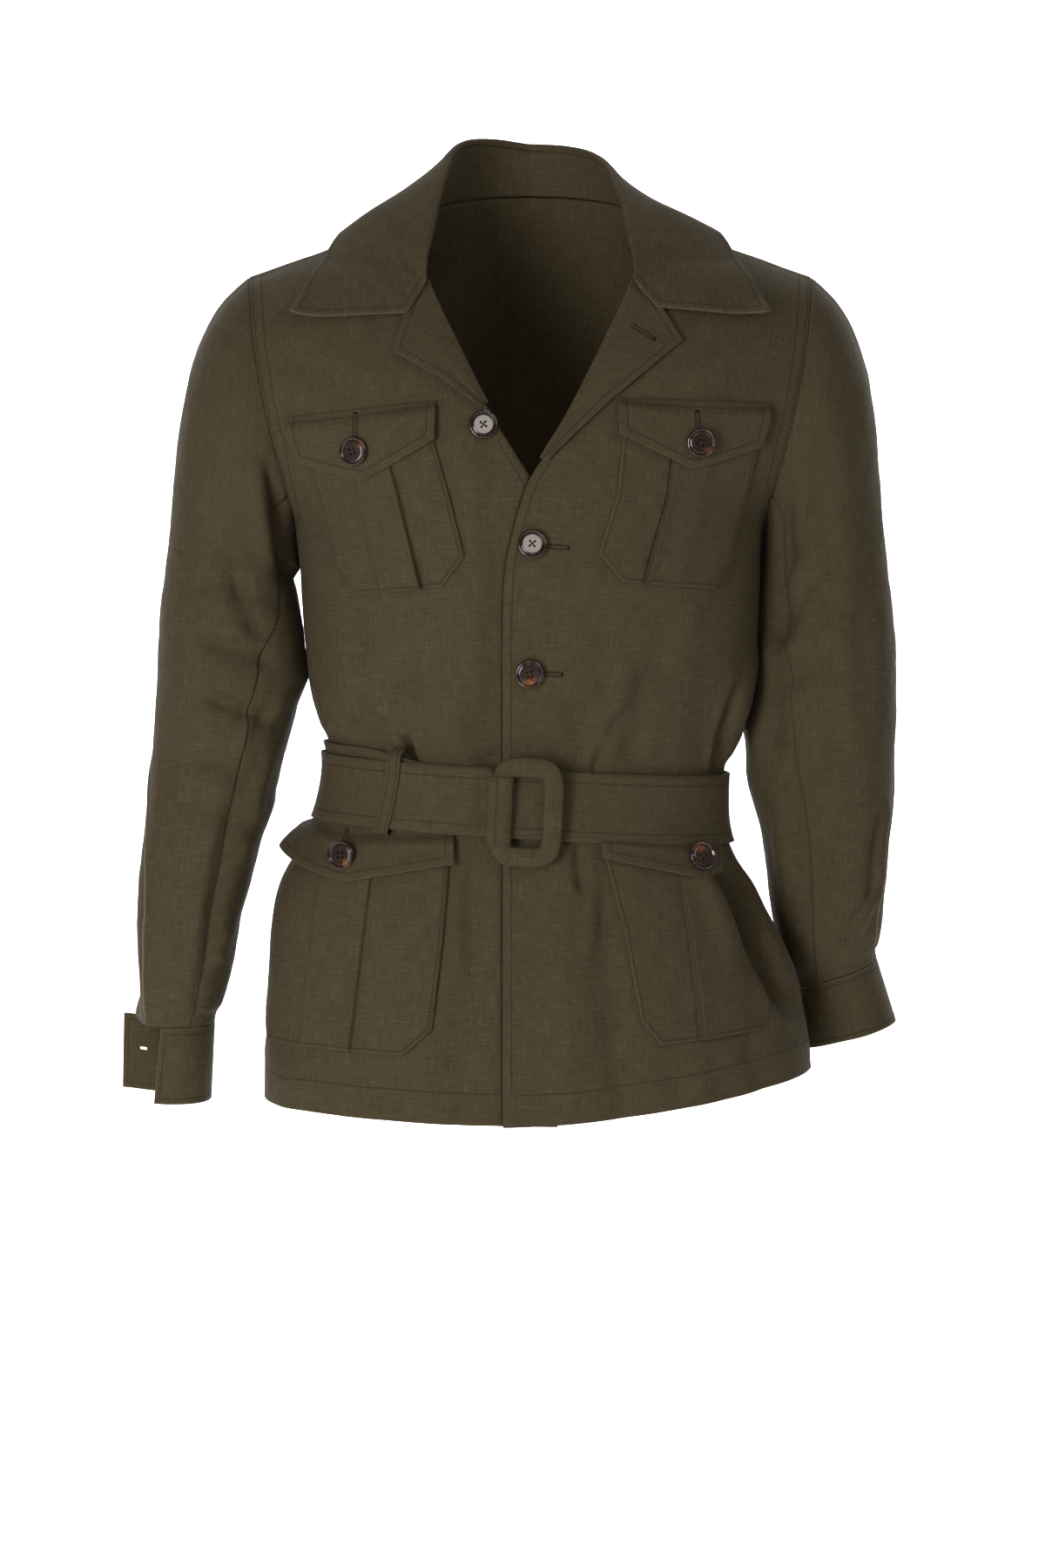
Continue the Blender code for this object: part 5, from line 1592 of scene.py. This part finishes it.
# Buttons: a turned disc with a rim, a groove and a flat face with four holes
buttonCut = {
    "radius": 0.0113, "steps": 56, "holeAt": 0.00185, "holeRadius": 0.0009, "holeDepth": 0.01,
    "holeMid": 0.002, "shank": 0.0014, "lean": 0.0060, "sharp": radians(38), "around": 0.008,
    "face": 0.0029, "apart": 0.0003, "holeSteps": 18,
    "strand": (0.0046, 0.00075, 0.0006), "wound": (0.0052, 0.0036, 0.0007), "turns": 9, "rise": 0.0001,
    "profile": ((0.0, 0.0), (0.72, 0.0), (0.93, 0.0004), (0.985, 0.0011), (1.0, 0.0018), (0.985, 0.0026),
                (0.94, 0.0032), (0.885, 0.0034), (0.83, 0.0031), (0.79, 0.0024), (0.76, 0.0021),
                (0.73, 0.0023), (0.70, 0.00255), (0.66, 0.00265), (0.62, 0.00267), (0.0, 0.00267)),
}
# the aim is the face's bearing (None: the cloth's own) and its rise, in degrees
Button = namedtuple("Button", "node cloth x z facing aim turn amber")
buttons = [Button(*row) for row in (
    # the last column is a spot across and up on the face, and its spread: on front buttons 1 and 2 a painted
    # warm highlight at the right rim, on the others the horn's own amber
    ("button_front_1", fronts[right], -0.0358, -0.1631, -1, (1.4, 8.3), 8, (0.0105, -0.005, 0.0022)),
    ("button_front_2", fronts[left], 0.0013, -0.2535, -1, (0.8, 9.9), -6, (0.0112, 0.001, 0.0022)),
    ("button_front_3", fronts[left], -0.0007, -0.3520, -1, (None, -8), 12, (0.001, -0.0060, 0.0056)),
    ("button_chest_right", flaps["chest", right], -0.1339, -0.1828, -1, (None, 0), 20,
     (0.007, 0.006, 0.0036)),
    ("button_chest_left", flaps["chest", left], 0.1292, -0.1762, -1, (5, -3), -14, (0.006, -0.007, 0.0035)),
    ("button_hip_right", flaps["hip", right], -0.1437, -0.4956, -1, (-24, 3), 4, (0.006, -0.007, 0.0035)),
    ("button_hip_left", flaps["hip", left], 0.1308, -0.4962, -1, (28, 14), 30, (-0.002, 0.006, 0.005)),
    ("button_cuff_left", cuffs[left], 0.2573, -0.6238, 1, (None, 0), 10, (0.004, 0.004, 0.004)),
    ("button_cuff_right", cuffs[right], -0.2796, -0.6642, 1, (None, 0), -10, (-0.004, 0.004, 0.004)),
)]


def turnedButton():
    bm = bmesh.new()
    verts = [bm.verts.new((share * buttonCut["radius"], 0, height)) for share, height in buttonCut["profile"]]
    edges = [bm.edges.new(pair) for pair in zip(verts, verts[1:])]
    bmesh.ops.spin(bm, geom=verts + edges, cent=(0, 0, 0), axis=(0, 0, 1), angle=2 * pi,
                   steps=buttonCut["steps"], use_merge=True)
    bmesh.ops.remove_doubles(bm, verts=bm.verts, dist=weld)
    bmesh.ops.recalc_face_normals(bm, faces=bm.faces)
    cutter, radius = bmesh.new(), buttonCut["holeRadius"]
    for x in (-1, 1):
        for y in (-1, 1):
            at = Matrix.Translation((x * buttonCut["holeAt"], y * buttonCut["holeAt"], buttonCut["holeMid"]))
            bmesh.ops.create_cone(cutter, cap_ends=True, segments=buttonCut["holeSteps"], radius1=radius,
                                  radius2=radius, depth=buttonCut["holeDepth"], matrix=at)
    pair = [addObject(name, meshFrom(name, shape)) for name, shape in (("blank", bm), ("drill", cutter))]
    blank, drill = pair
    cut = blank.modifiers.new("holes", "BOOLEAN")
    cut.operation, cut.solver, cut.object = "DIFFERENCE", "EXACT", drill
    done = bpy.data.meshes.new_from_object(blank.evaluated_get(bpy.context.evaluated_depsgraph_get()))
    for thing in pair:
        mesh = thing.data
        bpy.data.objects.remove(thing)
        bpy.data.meshes.remove(mesh)
    return done


def placeButton(button, blank, bm):
    place, cloth = onCloth(button.cloth, button.x, button.z, button.facing)
    far = buttonCut["around"]
    for x, z in ((-far, 0), (far, 0), (0, -far), (0, far)):
        cloth = cloth + onCloth(button.cloth, button.x + x, button.z + z, button.facing)[1]
    cloth.normalize()
    bearing, rise = button.aim
    out = Vector((cloth.x, cloth.y, 0)).normalized()
    if bearing is not None:
        out = Vector((sin(radians(bearing)), -cos(radians(bearing)), 0))
    out = out * cos(radians(rise)) + up * sin(radians(rise))
    across = up.cross(out).normalized()
    spin = Matrix.Rotation(radians(button.turn), 3, "Z")
    turn = Matrix((across, out.cross(across), out)).transposed() @ spin
    leaning = (1 - out.dot(cloth) ** 2) ** 0.5         # a leaning button stands off, so its edge stays clear
    seat = place + out * buttonCut["shank"] + cloth * buttonCut["lean"] * leaning
    mesh = blank.copy()
    amber = mesh.attributes.new("amber", "FLOAT", "POINT")
    spotX, spotY, spread = button.amber
    for vert in mesh.vertices:
        flat = spin @ vert.co
        amber.data[vert.index].value = exp(-((flat.x - spotX) ** 2 + (flat.y - spotY) ** 2) / spread ** 2)
    mesh.transform(Matrix.Translation(seat) @ turn.to_4x4())
    mesh.polygons.foreach_set("use_smooth", [True] * len(mesh.polygons))
    mesh.set_sharp_from_angle(angle=buttonCut["sharp"])
    mesh.materials.clear()
    mesh.materials.append(horn)
    addPiece("tortoiseshell_" + button.node, mesh, "buttons", button.node)
    face = seat + out * buttonCut["face"]
    for way in (1, -1):
        along = (turn @ Vector((1, way, 0))).normalized()
        side = along.cross(out)
        for shift in (-1, 1):
            bead(bm, face + side * shift * buttonCut["apart"], along, out, buttonCut["strand"])
    for k in range(buttonCut["turns"]):            # wound shank below
        along = turn @ Vector((cos(k), sin(k), 0))
        bead(bm, place + out * buttonCut["rise"] * k, along, out, buttonCut["wound"])


blank = turnedButton()
strands = bmesh.new()
for button in buttons:
    placeButton(button, blank, strands)
threadAndShadeBeads("button_thread", strands)
bpy.data.meshes.remove(blank)
print("buttons sewn on")

# Camera, floor and light
stageSet = {"cameraAt": (-0.006, -3.5, -0.2), "lookAt": (-0.006, 0.0, -0.445), "pixelsPerMetre": 1450,
            "frameHeight": 1800, "sensor": 36.0, "floorZ": -1.45, "wallY": 6.4, "bend": 1.2,
            "floorLength": 18.0, "floorFrom": -6.0, "floorWidth": 16.0, "floorSteps": 60,
            "paint": (0.86, 0.86, 0.86, 1), "dull": 0.9, "world": 0.15}


def aimed(name, data, place, aim):
    thing = addObject(name, data)
    thing.location = place
    thing.rotation_euler = (Vector(aim) - Vector(place)).to_track_quat("-Z", "Y").to_euler()
    return thing


def makeCamera():
    place, aim = Vector(stageSet["cameraAt"]), Vector(stageSet["lookAt"])
    data = bpy.data.cameras.new("photo_camera")
    data.sensor_fit = "VERTICAL"
    data.sensor_height = stageSet["sensor"]
    shown = stageSet["frameHeight"] / stageSet["pixelsPerMetre"]
    data.lens = (aim - place).length / shown * stageSet["sensor"]
    bpy.context.scene.camera = aimed("photo_camera", data, place, aim)


def makeFloor():
    # a pale floor that bends up into a backdrop
    bm = bmesh.new()
    bmesh.ops.create_grid(bm, x_segments=1, y_segments=stageSet["floorSteps"], size=0.5)
    bend, floorZ = stageSet["bend"], stageSet["floorZ"]
    start = stageSet["wallY"] - bend
    for vert in bm.verts:
        run = (vert.co.y + 0.5) * stageSet["floorLength"] + stageSet["floorFrom"]
        x = vert.co.x * stageSet["floorWidth"]
        if run < start:
            vert.co = (x, run, floorZ)
        else:
            turn = min(pi / 2, (run - start) / bend)
            rest = max(0.0, run - start - bend * pi / 2)
            vert.co = (x, start + bend * sin(turn), floorZ + bend * (1 - cos(turn)) + rest)
    net = Net("pale_floor")
    net.feed(net.shader, {"Base Color": stageSet["paint"], "Roughness": stageSet["dull"]})
    floor = addObject("studio_floor", meshFrom("studio_floor", bm, net.material))


def makeLight(name, place, aim, size, power, colour=(1, 1, 1)):
    data = bpy.data.lights.new(name, "AREA")
    data.shape = "RECTANGLE"
    data.size, data.size_y = size
    data.energy = power
    data.color = colour
    aimed(name, data, place, aim)


lights = (
    ("key_left", (-1.15, -2.1, -0.45), (0, 0, -0.42), (0.8, 1.2), 31),
    ("fill_right", (2.0, -2.0, 1.2), (0, 0, -0.30), (1.0, 1.5), 12),
    ("fill_front", (0.1, -3.4, 0.85), (0, 0, -0.4), (0.8, 0.5), 6.5, (1.0, 0.92, 0.82)),
    ("rim_left", (-1.7, 1.6, 0.1), (-0.2, 0, -0.40), (0.6, 1.8), 9),
    ("rim_right", (1.7, 1.6, 0.1), (0.2, 0, -0.40), (0.6, 1.8), 12),
    ("backdrop_light", (0, 1.2, 1.8), (0, 3.2, 0.1), (3.4, 1.2), 250),
    ("wall_light", (0, 4.0, 1.9), (0, 6.4, 0.2), (5.0, 1.2), 420),
)
makeCamera()
makeFloor()
for lamp in lights:
    makeLight(*lamp)
world = bpy.data.worlds.new("studio")
bpy.context.scene.world = world
world.use_nodes = True
background = world.node_tree.nodes["Background"]
background.inputs["Color"].default_value = (1, 1, 1, 1)
background.inputs["Strength"].default_value = stageSet["world"]
bpy.context.scene.view_settings.view_transform = "Standard"
print("stage set")
